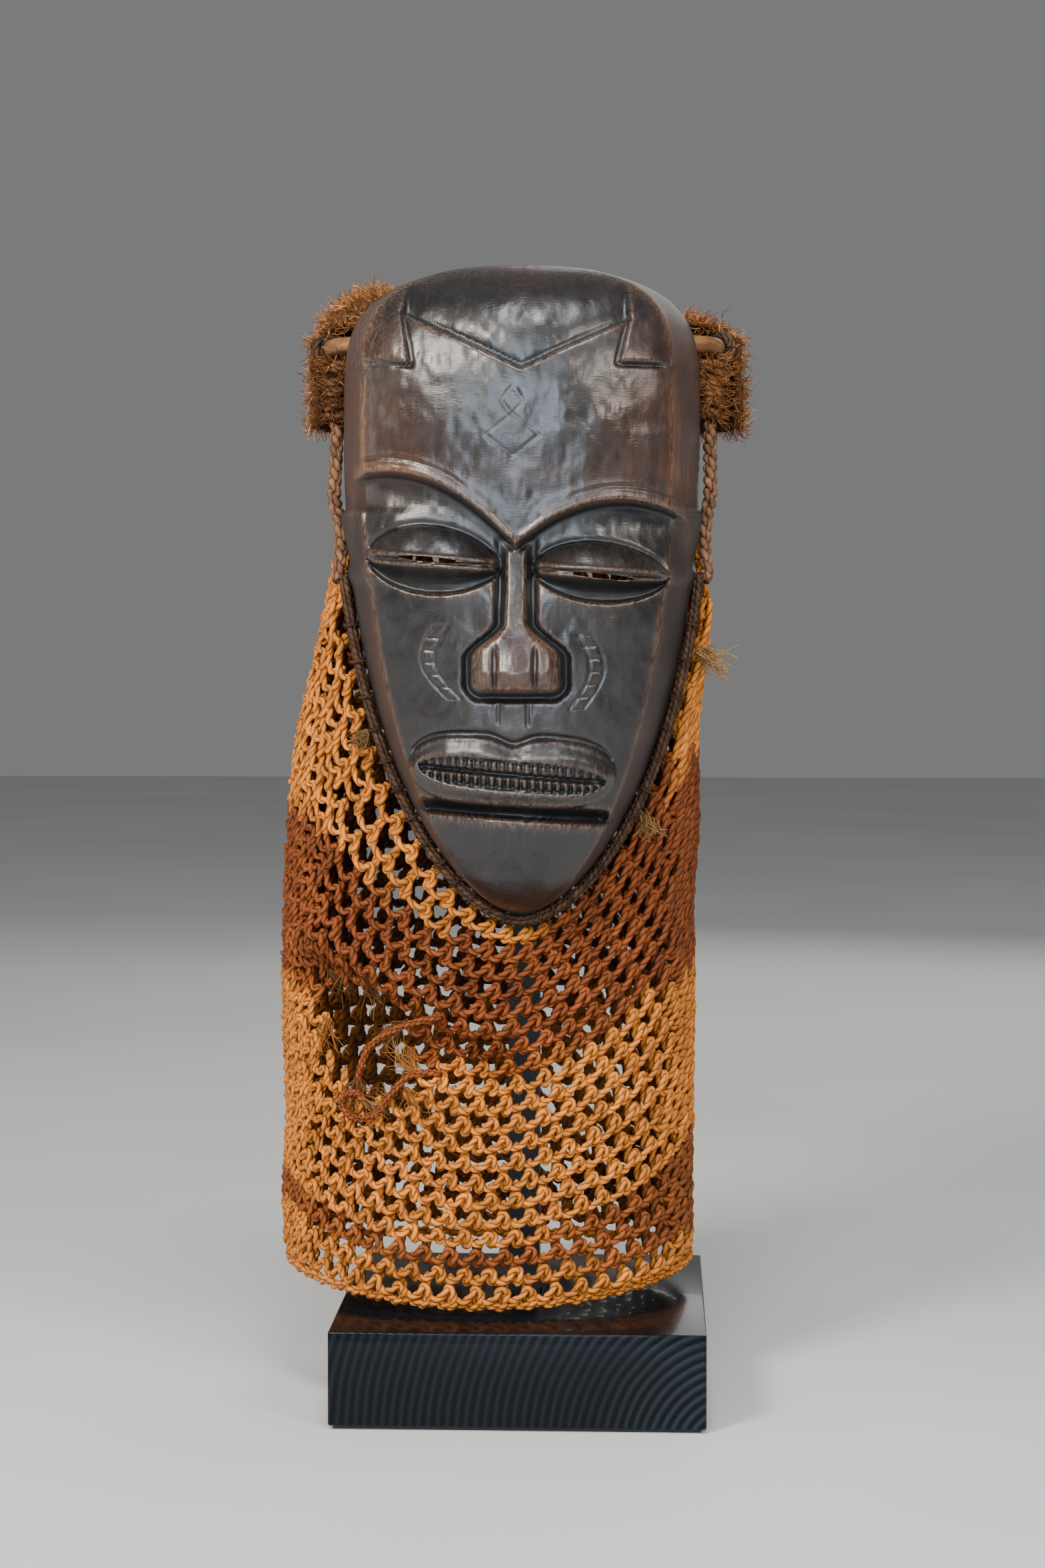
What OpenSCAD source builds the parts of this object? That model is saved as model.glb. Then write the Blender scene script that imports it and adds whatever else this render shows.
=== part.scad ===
// Carved wooden face mask with a looped cord hood and a fibre headdress,
// shown on a display stand: a block, a square post and a bracket that lifts out.
// Millimetres. +Z up, +Y to the back, the face looks along -Y.
// The origin is the middle of the felt's underside.

/* [Stand] */
// Side of the square wooden block
base_side = 148; // [130:1:180]
// Height of the wooden block
base_h = 37; // [30:1:50]
// Thickness of the felt under the block
felt_t = 1.6; // [1:0.1:3]
// Side of the square steel post
post_side = 12.7; // [12:0.1:16]
// How far the post stands above the block
post_reach = 262; // [218:1:268]
// How deep the post sits in the block
post_seat = 12; // [8:1:18]

/* [Bracket] */
// Diameter of the bracket's stem
stem_d = 8; // [6:0.5:9]
// How deep the stem drops into the post
stem_seat = 50; // [30:1:70]
// Diameter of the bracket's arms
arm_d = 5; // [4:0.5:6]
// Outer diameter of the collar on the post's top
collar_d = 18; // [16:1:24]
// Height of the collar
collar_h = 9; // [8:1:14]

/* [Mask] */
// Height of the mask from chin to crown
mask_h = 260; // [220:1:300]
// Greatest width of the mask, without the ears
mask_w = 143; // [120:1:170]
// Depth of the forehead in front of the rim
mask_depth = 60; // [50:1:75]
// Thickness of the carved wall at the rim
rim_wall = 9; // [7:0.5:12]
// Thickness of the wood behind the forehead
front_wall = 17; // [14:0.5:20]
// How far the nose stands in front of the rim
nose_depth = 63; // [58:1:80]
// Half-width of an eye
eye_half = 26; // [22:1:29]
// Height of an eye's see-through slit
eye_slit = 2.4; // [1.8:0.1:4]

/* [Cords] */
// Diameter of the dark cord along the rim
rim_cord_d = 5.2; // [4:0.1:7]
// Diameter of the thread that ties the rim cord on
stitch_d = 1.8; // [1.2:0.1:2.4]
// Number of rim ties on each side of the chin
stitches_a_side = 7; // [5:1:9]
// Diameter of the ropes beside the headdress
side_rope_d = 6; // [5:0.5:8]

/* [Net] */
// Wall thickness of the looped net
net_t = 4; // [3:0.5:6]
// Width of the net at its hem
hem_w = 172; // [150:1:200]
// Depth of the net at its hem, front to back
hem_depth = 148; // [130:1:170]
// Height of the chin above the block
chin_rise = 160; // [140:1:180]
// Diameter of the cord at the hem
hem_cord_d = 4; // [3:0.5:5]
// Diameter of the net's own cord, where a strand hangs loose
strand_d = 2.6; // [2:0.1:3]

/* [Headdress] */
// Thickness of the cane hoop
hoop_d = 6.8; // [5:0.2:9]
// Width of the hoop over its outer sides
hoop_w = 164; // [150:1:190]
// Depth of the hoop, front to back
hoop_depth = 92; // [80:1:110]
// Height of the chopped-fibre pile over the hoop
pile_rise = 27; // [20:1:32]
// Thickness of the pile
pile_t = 8; // [6:0.5:11]
// Thickness of the netted cap under the pile
cap_t = 2.5; // [2:0.5:4]
// How far the pile hangs below the hoop at the back
skirt_drop = 32; // [24:1:40]

/* [Hidden] */
$fn = 48;

gap = 0.3;              // between pieces that lie side by side
fit = 0.05;             // round a shaft in its hole, on the radius
slack = 0.15;           // round the post in its square seat
block_black = [0.05, 0.06, 0.07];
steel_black = [0.12, 0.12, 0.13];
wood_dark = [0.12, 0.08, 0.06];
cord_dark = [0.20, 0.13, 0.10];
ochre = [0.72, 0.48, 0.20];
russet = [0.45, 0.20, 0.10];
straw = [0.70, 0.50, 0.30];

block_top = felt_t + base_h;
post_top = block_top + post_reach;
chin_z = block_top + chin_rise;
mask_zc = chin_z + mask_h / 2;
rim_y = -30;            // the plane of the mask's rim
widest_v = 60;          // height over the mask's middle where it is widest
ear_low = 12;           // foot and top of the carved ears, over the middle
ear_high = 31;
ear_out = 4.2;          // how far the ears stand out

// ---- Stand ----

screw_d = 6;
screw_head_d = 11;
screw_head_h = 5;
washer_d = 14;
washer_t = 1.5;
head_pocket = 9;        // depth of the pocket under the block
screw_in_post = 16;
setscrew_d = 4;
post_bore = stem_seat + 2;

module base_block() {
    color(block_black) difference() {
        translate([-base_side / 2, -base_side / 2, felt_t]) cube([base_side, base_side, base_h]);
        translate([-post_side / 2 - slack, -post_side / 2 - slack, block_top - post_seat])
            cube([post_side + 2 * slack, post_side + 2 * slack, post_seat + 1]);
        translate([0, 0, felt_t - 1]) cylinder(d = screw_d + 0.4, h = base_h);
        translate([0, 0, felt_t - 1]) cylinder(d = washer_d + 1, h = head_pocket + 1);
    }
}

module base_felt() {
    edge = 2;
    color("dimgray") translate([-base_side / 2 + edge, -base_side / 2 + edge, 0])
        cube([base_side - 2 * edge, base_side - 2 * edge, felt_t]);
}

module stand_post() {
    foot = block_top - post_seat;
    color(steel_black) difference() {
        translate([-post_side / 2, -post_side / 2, foot])
            cube([post_side, post_side, post_top - foot]);
        translate([0, 0, post_top - post_bore]) cylinder(d = stem_d + 2 * fit, h = post_bore + 1);
        translate([0, 0, foot - 1]) cylinder(d = screw_d + 2 * fit, h = screw_in_post + 2);
    }
}

module post_screw() {
    seat = felt_t + head_pocket - washer_t;
    color("silver") {
        translate([0, 0, seat - screw_head_h]) cylinder(d = screw_head_d, h = screw_head_h);
        translate([0, 0, seat]) cylinder(d = screw_d,
            h = block_top - post_seat + screw_in_post - 1 - seat);
    }
}

module post_washer() {
    color("silver") translate([0, 0, felt_t + head_pocket - washer_t]) difference() {
        cylinder(d = washer_d, h = washer_t);
        translate([0, 0, -1]) cylinder(d = screw_d + 2 * fit, h = washer_t + 2);
    }
}

// ---- Bracket that carries the mask ----

collar_z = post_top + gap;
spine_top = mask_zc + 62;
arm_v = 50;             // height of the forehead arm over the mask's middle
prong_v = 2;            // height of the side prongs
pad_t = 3;
sleeve_t = 1.6;

module stem_collar() {
    color(steel_black) translate([0, 0, collar_z]) difference() {
        cylinder(d = collar_d, h = collar_h);
        translate([0, 0, -1]) cylinder(d = stem_d + 2 * fit, h = collar_h + 2);
        translate([0, 0, collar_h / 2]) rotate([-90, 0, 0])
            cylinder(d = setscrew_d + 2 * fit, h = collar_d);
    }
}

module collar_setscrew() {
    tip = stem_d / 2 + gap;
    color("silver") translate([0, tip, collar_z + collar_h / 2]) rotate([-90, 0, 0]) difference() {
        cylinder(d = setscrew_d, h = collar_d / 2 - tip + 1);
        translate([0, 0, collar_d / 2 - tip - 1]) cylinder(d = 2, h = 3, $fn = 6);
    }
}

prong_inset = 5.5;      // the hollow narrows towards the face
prong_x = half_w(prong_v) - rim_wall - arm_d / 2 - sleeve_t - prong_inset;
prong_y = rim_y - 12;
pad_y = rim_y - inner_depth(0, arm_v) + gap + 0.4;

module bracket() {
    color(steel_black) union() {
        translate([0, 0, post_top - stem_seat]) cylinder(d = stem_d, h = spine_top - post_top + stem_seat);
        translate([0, 0, spine_top]) sphere(d = stem_d);
        translate([0, pad_y + pad_t, mask_zc + arm_v]) rotate([-90, 0, 0])
            cylinder(d = arm_d, h = -pad_y - pad_t);
        translate([-prong_x, 0, mask_zc + prong_v]) rotate([0, 90, 0]) cylinder(d = arm_d, h = 2 * prong_x);
        for (side = [-1, 1]) {
            translate([side * prong_x, 0, mask_zc + prong_v]) sphere(d = arm_d);
            translate([side * prong_x, prong_y, mask_zc + prong_v]) rotate([-90, 0, 0])
                cylinder(d = arm_d, h = -prong_y);
        }
    }
}

module forehead_pad() {
    color("black") translate([0, pad_y, mask_zc + arm_v]) rotate([-90, 0, 0]) cylinder(d = 12, h = pad_t);
}

module side_pads() {
    color("black") for (side = [-1, 1])
        translate([side * prong_x, prong_y - 1.5, mask_zc + prong_v]) rotate([-90, 0, 0]) difference() {
            cylinder(d = arm_d + 2 * sleeve_t, h = 20);
            translate([0, 0, 1.5]) cylinder(d = arm_d + 2 * fit, h = 20);
        }
}

// ---- Mask: u to the right, v up from its middle, w forward from the rim ----

grid_a = 30;            // cells across and up the carved surface
grid_b = 48;

function clamp(x, lo = 0, hi = 1) = min(hi, max(lo, x));
function ease(a, b, x) = let (t = clamp((x - a) / (b - a))) t * t * (3 - 2 * t);
function mix(a, b, t) = a + (b - a) * t;

function crown_share(s) = sqrt(max(0, 1 - pow(s, 5)));
function jaw_share(s) = pow(max(0, 1 - pow(s, 2.1)), 0.57);
function plain_half_w(v) = mask_w / 2 * (v > widest_v
    ? crown_share((v - widest_v) / (mask_h / 2 - widest_v))
    : jaw_share((widest_v - v) / (mask_h / 2 + widest_v)));
function ear(v) = ear_out * (1 - ease(ear_high - 1, ear_high + 2, v)) * clamp((v - ear_low) / (ear_high - ear_low));
function half_w(v) = plain_half_w(v) + ear(v);

// Depth of the plain form down the middle, and across it.
function middle_depth(v) = v > widest_v
    ? mask_depth * pow(max(0, 1 - pow((v - widest_v) / (mask_h / 2 - widest_v), 3.2)), 0.6)
    : let (t = (widest_v - v) / (mask_h / 2 + widest_v))
      (mask_depth - 20 * t) * sqrt(max(0, 1 - pow(t, 9)));
function across(u, v) = let (edge = 1 - clamp(abs(u) / max(0.01, half_w(v))))
    pow(max(0, 1 - pow(1 - edge, 2.6)), 0.55);
function form(u, v) = middle_depth(v) * across(u, v);
function inner_depth(u, v) = form(u, v) * (mask_depth - front_wall) / mask_depth;

// The carver's lines slope down to the right, most of all at the eyes.
function slant(u, v) = v + u * (0.035 + 0.062 * exp(-pow((v - 20) / 30, 2)));
function brow_v(u) = 20.5 + 20.3 * (1 - pow(1 - abs(u) / 46, 2));
eye_u = 32;
eye_v = 7.5;
nose_top = 15;
nose_foot = -39;

function nose_half(v) = mix(18.5, 4.4, ease(-22, -8, v));
function nose_shape(u, v) = (1 - ease(nose_half(v) - 3, nose_half(v) + 3, abs(u)))
    * ease(nose_foot - 2, nose_foot + 3, v) * (1 - ease(nose_top - 6, nose_top + 6, v));
function nose_front(v) = mix(nose_depth, mask_depth - 8, ease(-30, nose_top, v));
function socket(u, s) = 9 * (1 - ease(brow_v(u) - 6, brow_v(u) + 2, s)) * ease(-30, 2, s)
    * (1 - ease(50, 62, abs(u)));
function eyeball(u, s) = let (h = 12 * sqrt(max(0, 1 - pow((abs(u) - eye_u) / eye_half, 2))))
    h <= 0 ? 0 : 5 * clamp(1 - abs(s - eye_v) / h);
function mouth(u, s) = 5 * (1 - ease(0.85, 1.1, sqrt(pow(u / 40, 2) + pow((s + 72) / 13, 2))));
function chin_cut(u, s) = 6 * ease(-91, -89, s) * (1 - ease(-86, -83, s)) * (1 - ease(30, 38, abs(u)));
function carved(u, v) = let (s = slant(u, v),
        face = form(u, v) - socket(u, s) + eyeball(u, s) + mouth(u, s) - chin_cut(u, s),
        near = ease(0, 12, form(u, v)))
    mix(form(u, v), mix(face, max(face, nose_front(v)), nose_shape(u, v)), near);

// A square grid spread over the mask's outline.
function disc(a, b) = [a * sqrt(1 - b * b / 2), b * sqrt(1 - a * a / 2)];
function on_face(a, b) = let (d = disc(a, b), v = d[1] * mask_h / 2,
        x = clamp(d[0] / sqrt(max(1e-6, 1 - d[1] * d[1])), -1, 1))
    [x * half_w(v), v];
function edge_cell(i, n) = i == 0 || i == n;
function front_pt(i, j) = let (p = on_face(2 * i / grid_a - 1, 2 * j / grid_b - 1))
    [p[0], rim_y - (edge_cell(i, grid_a) || edge_cell(j, grid_b) ? 0 : carved(p[0], p[1])), mask_zc + p[1]];
function back_pt(i, j) = let (p = on_face(2 * i / grid_a - 1, 2 * j / grid_b - 1),
        sv = (mask_h / 2 - rim_wall) / (mask_h / 2),
        su = (half_w(p[1]) < rim_wall + 1 ? 0.2 : max(0.2, 1 - rim_wall / half_w(p[1]))))
    [p[0] * su, rim_y - (edge_cell(i, grid_a) || edge_cell(j, grid_b) ? 0 : inner_depth(p[0], p[1])),
        mask_zc + p[1] * sv];

module mask_solid() {
    na = grid_a + 1;
    nb = grid_b + 1;
    n = na * nb;
    points = concat([for (j = [0:grid_b]) for (i = [0:grid_a]) front_pt(i, j)],
        [for (j = [0:grid_b]) for (i = [0:grid_a]) back_pt(i, j)]);
    rim = concat([for (i = [0:grid_a - 1]) i], [for (j = [0:grid_b - 1]) j * na + grid_a],
        [for (i = [grid_a:-1:1]) grid_b * na + i], [for (j = [grid_b:-1:1]) j * na]);
    faces = concat(
        [for (j = [0:grid_b - 1]) for (i = [0:grid_a - 1]) let (k = j * na + i)
            each [[k, k + na, k + 1], [k + 1, k + na, k + na + 1]]],
        [for (j = [0:grid_b - 1]) for (i = [0:grid_a - 1]) let (k = n + j * na + i)
            each [[k, k + 1, k + na], [k + 1, k + na + 1, k + na]]],
        [for (m = [0:len(rim) - 1]) let (p = rim[m], q = rim[(m + 1) % len(rim)])
            each [[p, q, n + p], [q, n + q, n + p]]]);
    polyhedron(points, faces);
}

// A point of the rim, t degrees round from the chin, with the way out and the way along.
function rim_uv(t) = let (v = -mask_h / 2 * cos(t)) [sign(t) * plain_half_w(v), v];
function rim_along(t) = let (d = rim_uv(t + 0.5) - rim_uv(t - 0.5)) d / norm(d);
function rim_out(t, out) = let (g = rim_along(t)) rim_uv(t) + out * [g[1], -g[0]];
tie_w = 7;              // how far in front of the rim's back the ties pass
function tie_angle(k) = mix(14, 84, (k - 1) / (stitches_a_side - 1));
tie_list = [for (k = [1:stitches_a_side]) each [-tie_angle(k), tie_angle(k)]];

module at_tie(t) {
    p = rim_uv(t);
    g = rim_along(t);
    translate([p[0], rim_y - tie_w, mask_zc + p[1]]) rotate([0, -atan2(-g[0], g[1]), 0]) children();
}

module mask_face() {
    color(wood_dark) difference() {
        mask_solid();
        for (side = [-1, 1]) let (u = side * eye_u)
            translate([u, rim_y - mask_depth, mask_zc + eye_v - u * 0.0966])
                rotate([0, 5.5, 0]) hull() for (x = [-1, 1]) translate([x * 13, 0, 0])
                    rotate([-90, 0, 0]) cylinder(d = eye_slit, h = mask_depth - 8, $fn = 12);
        for (t = tie_list) at_tie(t) hull() for (x = [-rim_wall - 10, 8]) translate([x, 0, 0])
            rotate([0, 90, 0]) cylinder(d = stitch_d + 0.8, h = 0.1, $fn = 12);
    }
}

// ---- Cord round the rim, and its ties ----

// A tube along points that lie mostly in a plane with the normal given.
module tube(points, r, sides = 8, closed = false, normal = [0, 1, 0]) {
    last = len(points) - 1;
    function at(i) = closed ? points[(i + len(points)) % len(points)] : points[clamp(i, 0, last)];
    function ring(i) = let (d = at(i + 1) - at(i - 1), t = d / norm(d), s0 = cross(t, normal),
            s = s0 / norm(s0), up = cross(s, t))
        [for (k = [0:sides - 1]) points[i] + r * (s * cos(k * 360 / sides) + up * sin(k * 360 / sides))];
    rings = closed ? last + 1 : last;
    n = len(points) * sides;
    faces = [for (i = [0:rings - 1]) for (k = [0:sides - 1])
        let (a = i * sides + k, b = i * sides + (k + 1) % sides, up = sides)
            each [[a, (a + up) % n, b], [b, (a + up) % n, (b + up) % n]]];
    caps = closed ? [] : [[for (k = [0:sides - 1]) k], [for (k = [sides - 1:-1:0]) last * sides + k]];
    polyhedron([for (i = [0:last]) each ring(i)], concat(faces, caps));
}

rim_cord_end = 92;
rim_cord_gap = 0.7;     // the cord's flat-sided tube stays this far off the wood
cord_out = rim_cord_d / 2 + rim_cord_gap;
cord_w = 2;

function rim_cord_pt(t) = let (p = rim_out(t, cord_out)) [p[0], rim_y - cord_w, mask_zc + p[1]];

module rim_cord() {
    color(cord_dark) tube([for (t = [-rim_cord_end:4:rim_cord_end]) rim_cord_pt(t)], rim_cord_d / 2);
}

module bent_ring(length, bend_r, r) {
    for (z = [-1, 1]) translate([-length / 2, z * bend_r, 0]) rotate([0, 90, 0])
        cylinder(r = r, h = length);
    for (s = [-1, 1]) translate([s * length / 2, 0, 0]) rotate([0, 0, s * 90 - 90])
        rotate([0, 0, -90]) rotate_extrude(angle = 180) translate([bend_r, 0]) circle(r = r);
}

tie_bend = (tie_w + stitch_d / 2 + 1) / 2;
tie_outer = cord_out + 0.8;
tie_inner = -rim_wall - 3.5;

module rim_ties() {
    color(cord_dark) for (t = tie_list) at_tie(t)
        translate([(tie_outer + tie_inner) / 2, tie_bend, 0]) bent_ring(tie_outer - tie_inner, tie_bend, stitch_d / 2);
}

// ---- Net hood: t degrees round from the chin, h from 0 at the hem to 1 at the top ----

hem_gap = 0.4;
hem_x = -16;            // the hood hangs to one side
hem_y = 25;
hem_z = block_top + hem_gap + hem_cord_d + 0.2;
net_out = cord_out + rim_cord_d / 2 + 0.1;
net_w = tie_w - 2 * tie_bend - stitch_d / 2 - gap - net_t / 2;
ear_turn = 90;
crown_edge = mask_zc + 99 - skirt_drop - gap - 1;

function net_top(t) = abs(t) <= ear_turn
    ? let (p = rim_out(t == 0 ? 0.01 : t, net_out)) [p[0], rim_y - net_w, mask_zc + p[1]]
    : let (b = abs(t) - ear_turn, e = net_top(ear_turn))
      [sign(t) * e[0] * cos(b), mix(e[1], hem_y + 41, sin(b)), mix(e[2], crown_edge, ease(0, 1, 1.5 * sin(b)))];
function net_foot(t) = [hem_x + (hem_w - net_t) / 2 * sin(t), hem_y - (hem_depth - net_t) / 2 * cos(t),
    hem_z + 7 * pow(sin(t), 2)];
function net_mid(t, h) = let (a = net_foot(t), b = net_top(t), k = pow(h, 5), m = pow(h, 2.5))
    [mix(a[0], b[0], k), mix(a[1], b[1], m), mix(a[2], b[2], h)];
function net_skin(t, h, off) = let (p = net_mid(t, h), c = [hem_x * (1 - pow(h, 5)), hem_y * (1 - h), p[2]],
        d = p - c) p + d / norm(d) * off;
function level(t, z) = clamp((z + block_top - net_foot(t)[2]) / (net_top(t)[2] - net_foot(t)[2]), 0.02, 0.955);

// Heights over the block where the dyed bands meet, round the hood.
function hem_band(t) = level(t, 19 + 13 * pow(sin(t), 2) - 6 * sin(t));
function low_band(t) = level(t, 29 + 30 * pow(sin(t), 2) + 8 * sin(t));
function mid_band(t) = level(t, 100 + 38 * pow(sin(t), 2) + 2 * sin(t));
function top_band(t) = level(t, 148 + 68 * pow(sin(min(90, abs(t))), 2) + 12 * sin(t));

turn = 10;              // degrees to a net cell
tear_from = -40;        // the torn place, round the hood
tear_to = -20;

// One band of the hood between two edges, rows cells high, with cells left out where torn(i, j).
module net_band(lower, upper, rows, torn_row = -1) {
    count = 360 / turn;
    function angle(i) = -180 + i * turn;
    function out(i, j, off) = let (t = angle(i)) net_skin(t, mix(lower(t), upper(t), j / rows), off);
    function kept(i, j) = j >= 0 && j < rows
        && !(j == torn_row && angle(i) >= tear_from && angle(i) < tear_to);
    m = count * (rows + 1);
    function id(i, j) = (i + count) % count * (rows + 1) + j;
    points = concat([for (i = [0:count - 1]) for (j = [0:rows]) out(i, j, net_t / 2)],
        [for (i = [0:count - 1]) for (j = [0:rows]) out(i, j, -net_t / 2)]);
    faces = [for (i = [0:count - 1]) for (j = [0:rows - 1]) if (kept(i, j))
        let (a = id(i, j), b = id(i + 1, j), c = id(i + 1, j + 1), d = id(i, j + 1)) each concat(
            [[a, c, b], [a, d, c], [m + a, m + b, m + c], [m + a, m + c, m + d]],
            kept(i, j - 1) ? [] : [[a, b, m + b], [a, m + b, m + a]],
            kept(i, j + 1) ? [] : [[d, m + c, c], [d, m + d, m + c]],
            kept((i + count - 1) % count, j) ? [] : [[a, m + d, d], [a, m + a, m + d]],
            kept((i + 1) % count, j) ? [] : [[b, c, m + c], [b, m + c, m + b]])];
    polyhedron(points, faces);
}

module net_upper_ochre() {
    color(ochre) net_band(function (t) top_band(t), function (t) 1, 3);
}

module net_upper_russet() {
    color(russet) net_band(function (t) mid_band(t), function (t) top_band(t), 3, 0);
}

module net_lower_ochre() {
    color(ochre) net_band(function (t) low_band(t), function (t) mid_band(t), 3, 2);
}

module net_lower_russet() {
    color(russet) net_band(function (t) hem_band(t), function (t) low_band(t), 1);
}

module net_hem() {
    color(ochre) net_band(function (t) 0.001, function (t) hem_band(t), 1);
}

module hem_cord() {
    color(ochre) tube([for (t = [-180:turn:179]) net_foot(t) - [0, 0, hem_cord_d / 2 + 0.15]],
        hem_cord_d / 2, closed = true, normal = [0, 0, 1]);
}

// ---- Headdress: a cane hoop, its lashings, a netted cap and a chopped-fibre pile ----

hoop_r = hoop_d / 2;
hoop_half = hoop_w / 2 - hoop_r;
hoop_z = mask_zc + 99;
hoop_front = rim_y + gap + hoop_r;
front_bend = 18;
back_bend = 46;
side_run = hoop_depth - hoop_d - front_bend - back_bend;

module hoop_corner(x, y, bend, from) {
    translate([x, y, hoop_z]) rotate([0, 0, from]) rotate_extrude(angle = 90)
        translate([bend, 0]) circle(r = hoop_r);
}

module cane_hoop() {
    color("peru") {
        translate([0, hoop_front, hoop_z]) rotate([0, 90, 0])
            cylinder(r = hoop_r, h = 2 * (hoop_half - front_bend), center = true);
        translate([0, hoop_front + front_bend + side_run + back_bend, hoop_z]) rotate([0, 90, 0])
            cylinder(r = hoop_r, h = 2 * (hoop_half - back_bend), center = true);
        for (s = [-1, 1]) {
            translate([s * hoop_half, hoop_front + front_bend, hoop_z]) rotate([-90, 0, 0])
                cylinder(r = hoop_r, h = side_run);
            hoop_corner(s * (hoop_half - front_bend), hoop_front + front_bend, front_bend, s > 0 ? -90 : 180);
            hoop_corner(s * (hoop_half - back_bend), hoop_front + front_bend + side_run, back_bend,
                s > 0 ? 0 : 90);
        }
    }
}

lash_r = 1.5;
lash_turns = 5;
lash_pitch = 2 * lash_r + 0.1;

module hoop_lashing(side) {
    for (k = [0:lash_turns - 1])
        translate([side * hoop_half, hoop_front + front_bend + 1 + lash_r + k * lash_pitch, hoop_z])
            rotate([90, 0, 0]) rotate_extrude() translate([hoop_r + lash_r + 0.1, 0]) circle(r = lash_r);
}

module left_hoop_lashing() {
    color(cord_dark) hoop_lashing(-1);
}

module right_hoop_lashing() {
    color(cord_dark) hoop_lashing(1);
}

// Plan of the cap: rounder at the back, flat behind the rim. t is 0 at the right, 90 at the back.
cap_lift = hoop_r + 2 * lash_r + 0.5;
function cap_plan(t, grow) = let (mid_y = hoop_front + hoop_depth / 2 - hoop_r, n = 2.6,
        c = cos(t), s = sin(t), k = pow(pow(abs(c), n) + pow(abs(s), n), -1 / n))
    [(hoop_w / 2 + grow) * k * c, max(rim_y + 6 - grow, mid_y + (hoop_depth / 2 + grow) * k * s)];
// The pile has slumped to a third of its height at the right.
function slump(t, e) = 1 - 0.7 * ease(0.1, 0.75, cos(t) * pow(cos(e), 0.75));
function cap_pt(t, e, grow, rise) = let (p = cap_plan(t, grow), mid_y = hoop_front + hoop_depth / 2 - hoop_r,
        k = pow(cos(e), 0.75))
    [p[0] * k, mid_y + (p[1] - mid_y) * k, hoop_z + cap_lift + rise * slump(t, e) * sin(e)];

// A dome with a wall, closed over the top: outer and inner skins from the hoop to the crown.
module dome(grow_out, rise_out, grow_in, rise_in, turns = 32, rows = 5) {
    function id(i, j) = j * turns + i % turns;
    m = rows * turns;
    top = 2 * m;
    points = concat(
        [for (j = [0:rows - 1]) for (i = [0:turns - 1]) cap_pt(i * 360 / turns, j * 90 / rows, grow_out, rise_out)],
        [for (j = [0:rows - 1]) for (i = [0:turns - 1]) cap_pt(i * 360 / turns, j * 90 / rows, grow_in, rise_in)],
        [cap_pt(0, 90, grow_out, rise_out), cap_pt(0, 90, grow_in, rise_in)]);
    faces = concat(
        [for (j = [0:rows - 2]) for (i = [0:turns - 1])
            let (a = id(i, j), b = id(i + 1, j), c = id(i + 1, j + 1), d = id(i, j + 1))
            each [[a, c, b], [a, d, c], [m + a, m + b, m + c], [m + a, m + c, m + d]]],
        [for (i = [0:turns - 1]) let (a = id(i, rows - 1), b = id(i + 1, rows - 1))
            each [[a, top, b], [m + a, m + b, top + 1]]],
        [for (i = [0:turns - 1]) let (a = id(i, 0), b = id(i + 1, 0)) each [[a, b, m + b], [a, m + b, m + a]]]);
    polyhedron(points, faces);
}

// The pile below the hoop, round the sides and back only.
module skirt(grow, wall, drop, from = -8, to = 188, turns = 20) {
    function ang(i) = mix(from, to, i / turns);
    function pt(i, off, z) = let (p = cap_plan(ang(i), grow + off)) [p[0], p[1], z];
    top = hoop_z + cap_lift + 0.6;
    points = [for (i = [0:turns]) each [pt(i, wall, top), pt(i, wall, top - drop), pt(i, 0, top - drop), pt(i, 0, top)]];
    faces = concat(
        [for (i = [0:turns - 1]) for (k = [0:3]) let (a = 4 * i + k, b = 4 * i + (k + 1) % 4)
            each [[a, a + 4, b], [b, a + 4, b + 4]]],
        [[0, 1, 2], [0, 2, 3]],
        let (e = 4 * turns) [[e, e + 2, e + 1], [e, e + 3, e + 2]]);
    polyhedron(points, faces);
}

module cap_foundation() {
    color("sienna") dome(0, pile_rise - pile_t, -cap_t - 0.5, pile_rise - pile_t - cap_t);
}

module hair_pile() {
    color(straw) {
        dome(pile_t * 0.6, pile_rise, gap + 0.1, pile_rise - pile_t + 0.5);
        skirt(gap + lash_r * 2 + 0.3, pile_t - 3, skirt_drop + cap_lift + 0.6);
    }
}

// ---- Knotted fibre and ropes beside the mask ----

knot_r = 6;
knot_y = hoop_front + 8;
knot_x = hoop_half - 3;
knots = [[knot_r, hoop_r + knot_r + gap], [knot_r - 0.4, hoop_r + knot_r + 9.3], [knot_r - 1, hoop_r + knot_r + 16.8]];
rope_top = knots[2][1] + knots[2][0] + gap;

module side_knot(side) {
    for (k = knots) translate([side * knot_x, knot_y, hoop_z - k[1]]) sphere(r = k[0]);
}

module left_side_knot() {
    color(straw) side_knot(-1);
}

module right_side_knot() {
    color(straw) side_knot(1);
}

function rope_path(side) = [for (k = [[0, 0], [0, 2], [-2, 7], [-5, 12], [-8, 18], [-9.5, 23], [-10, rope_end]])
    [side * knot_x, knot_y + k[0], hoop_z - rope_top - k[1]]];
rope_end = hoop_z - rope_top - mask_zc - ear_high - 6;

module left_side_rope() {
    color(cord_dark) tube(rope_path(-1), side_rope_d / 2);
}

module right_side_rope() {
    color(cord_dark) tube(rope_path(1), side_rope_d / 2);
}

// ---- Broken strands that hang free in the torn place ----

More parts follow.
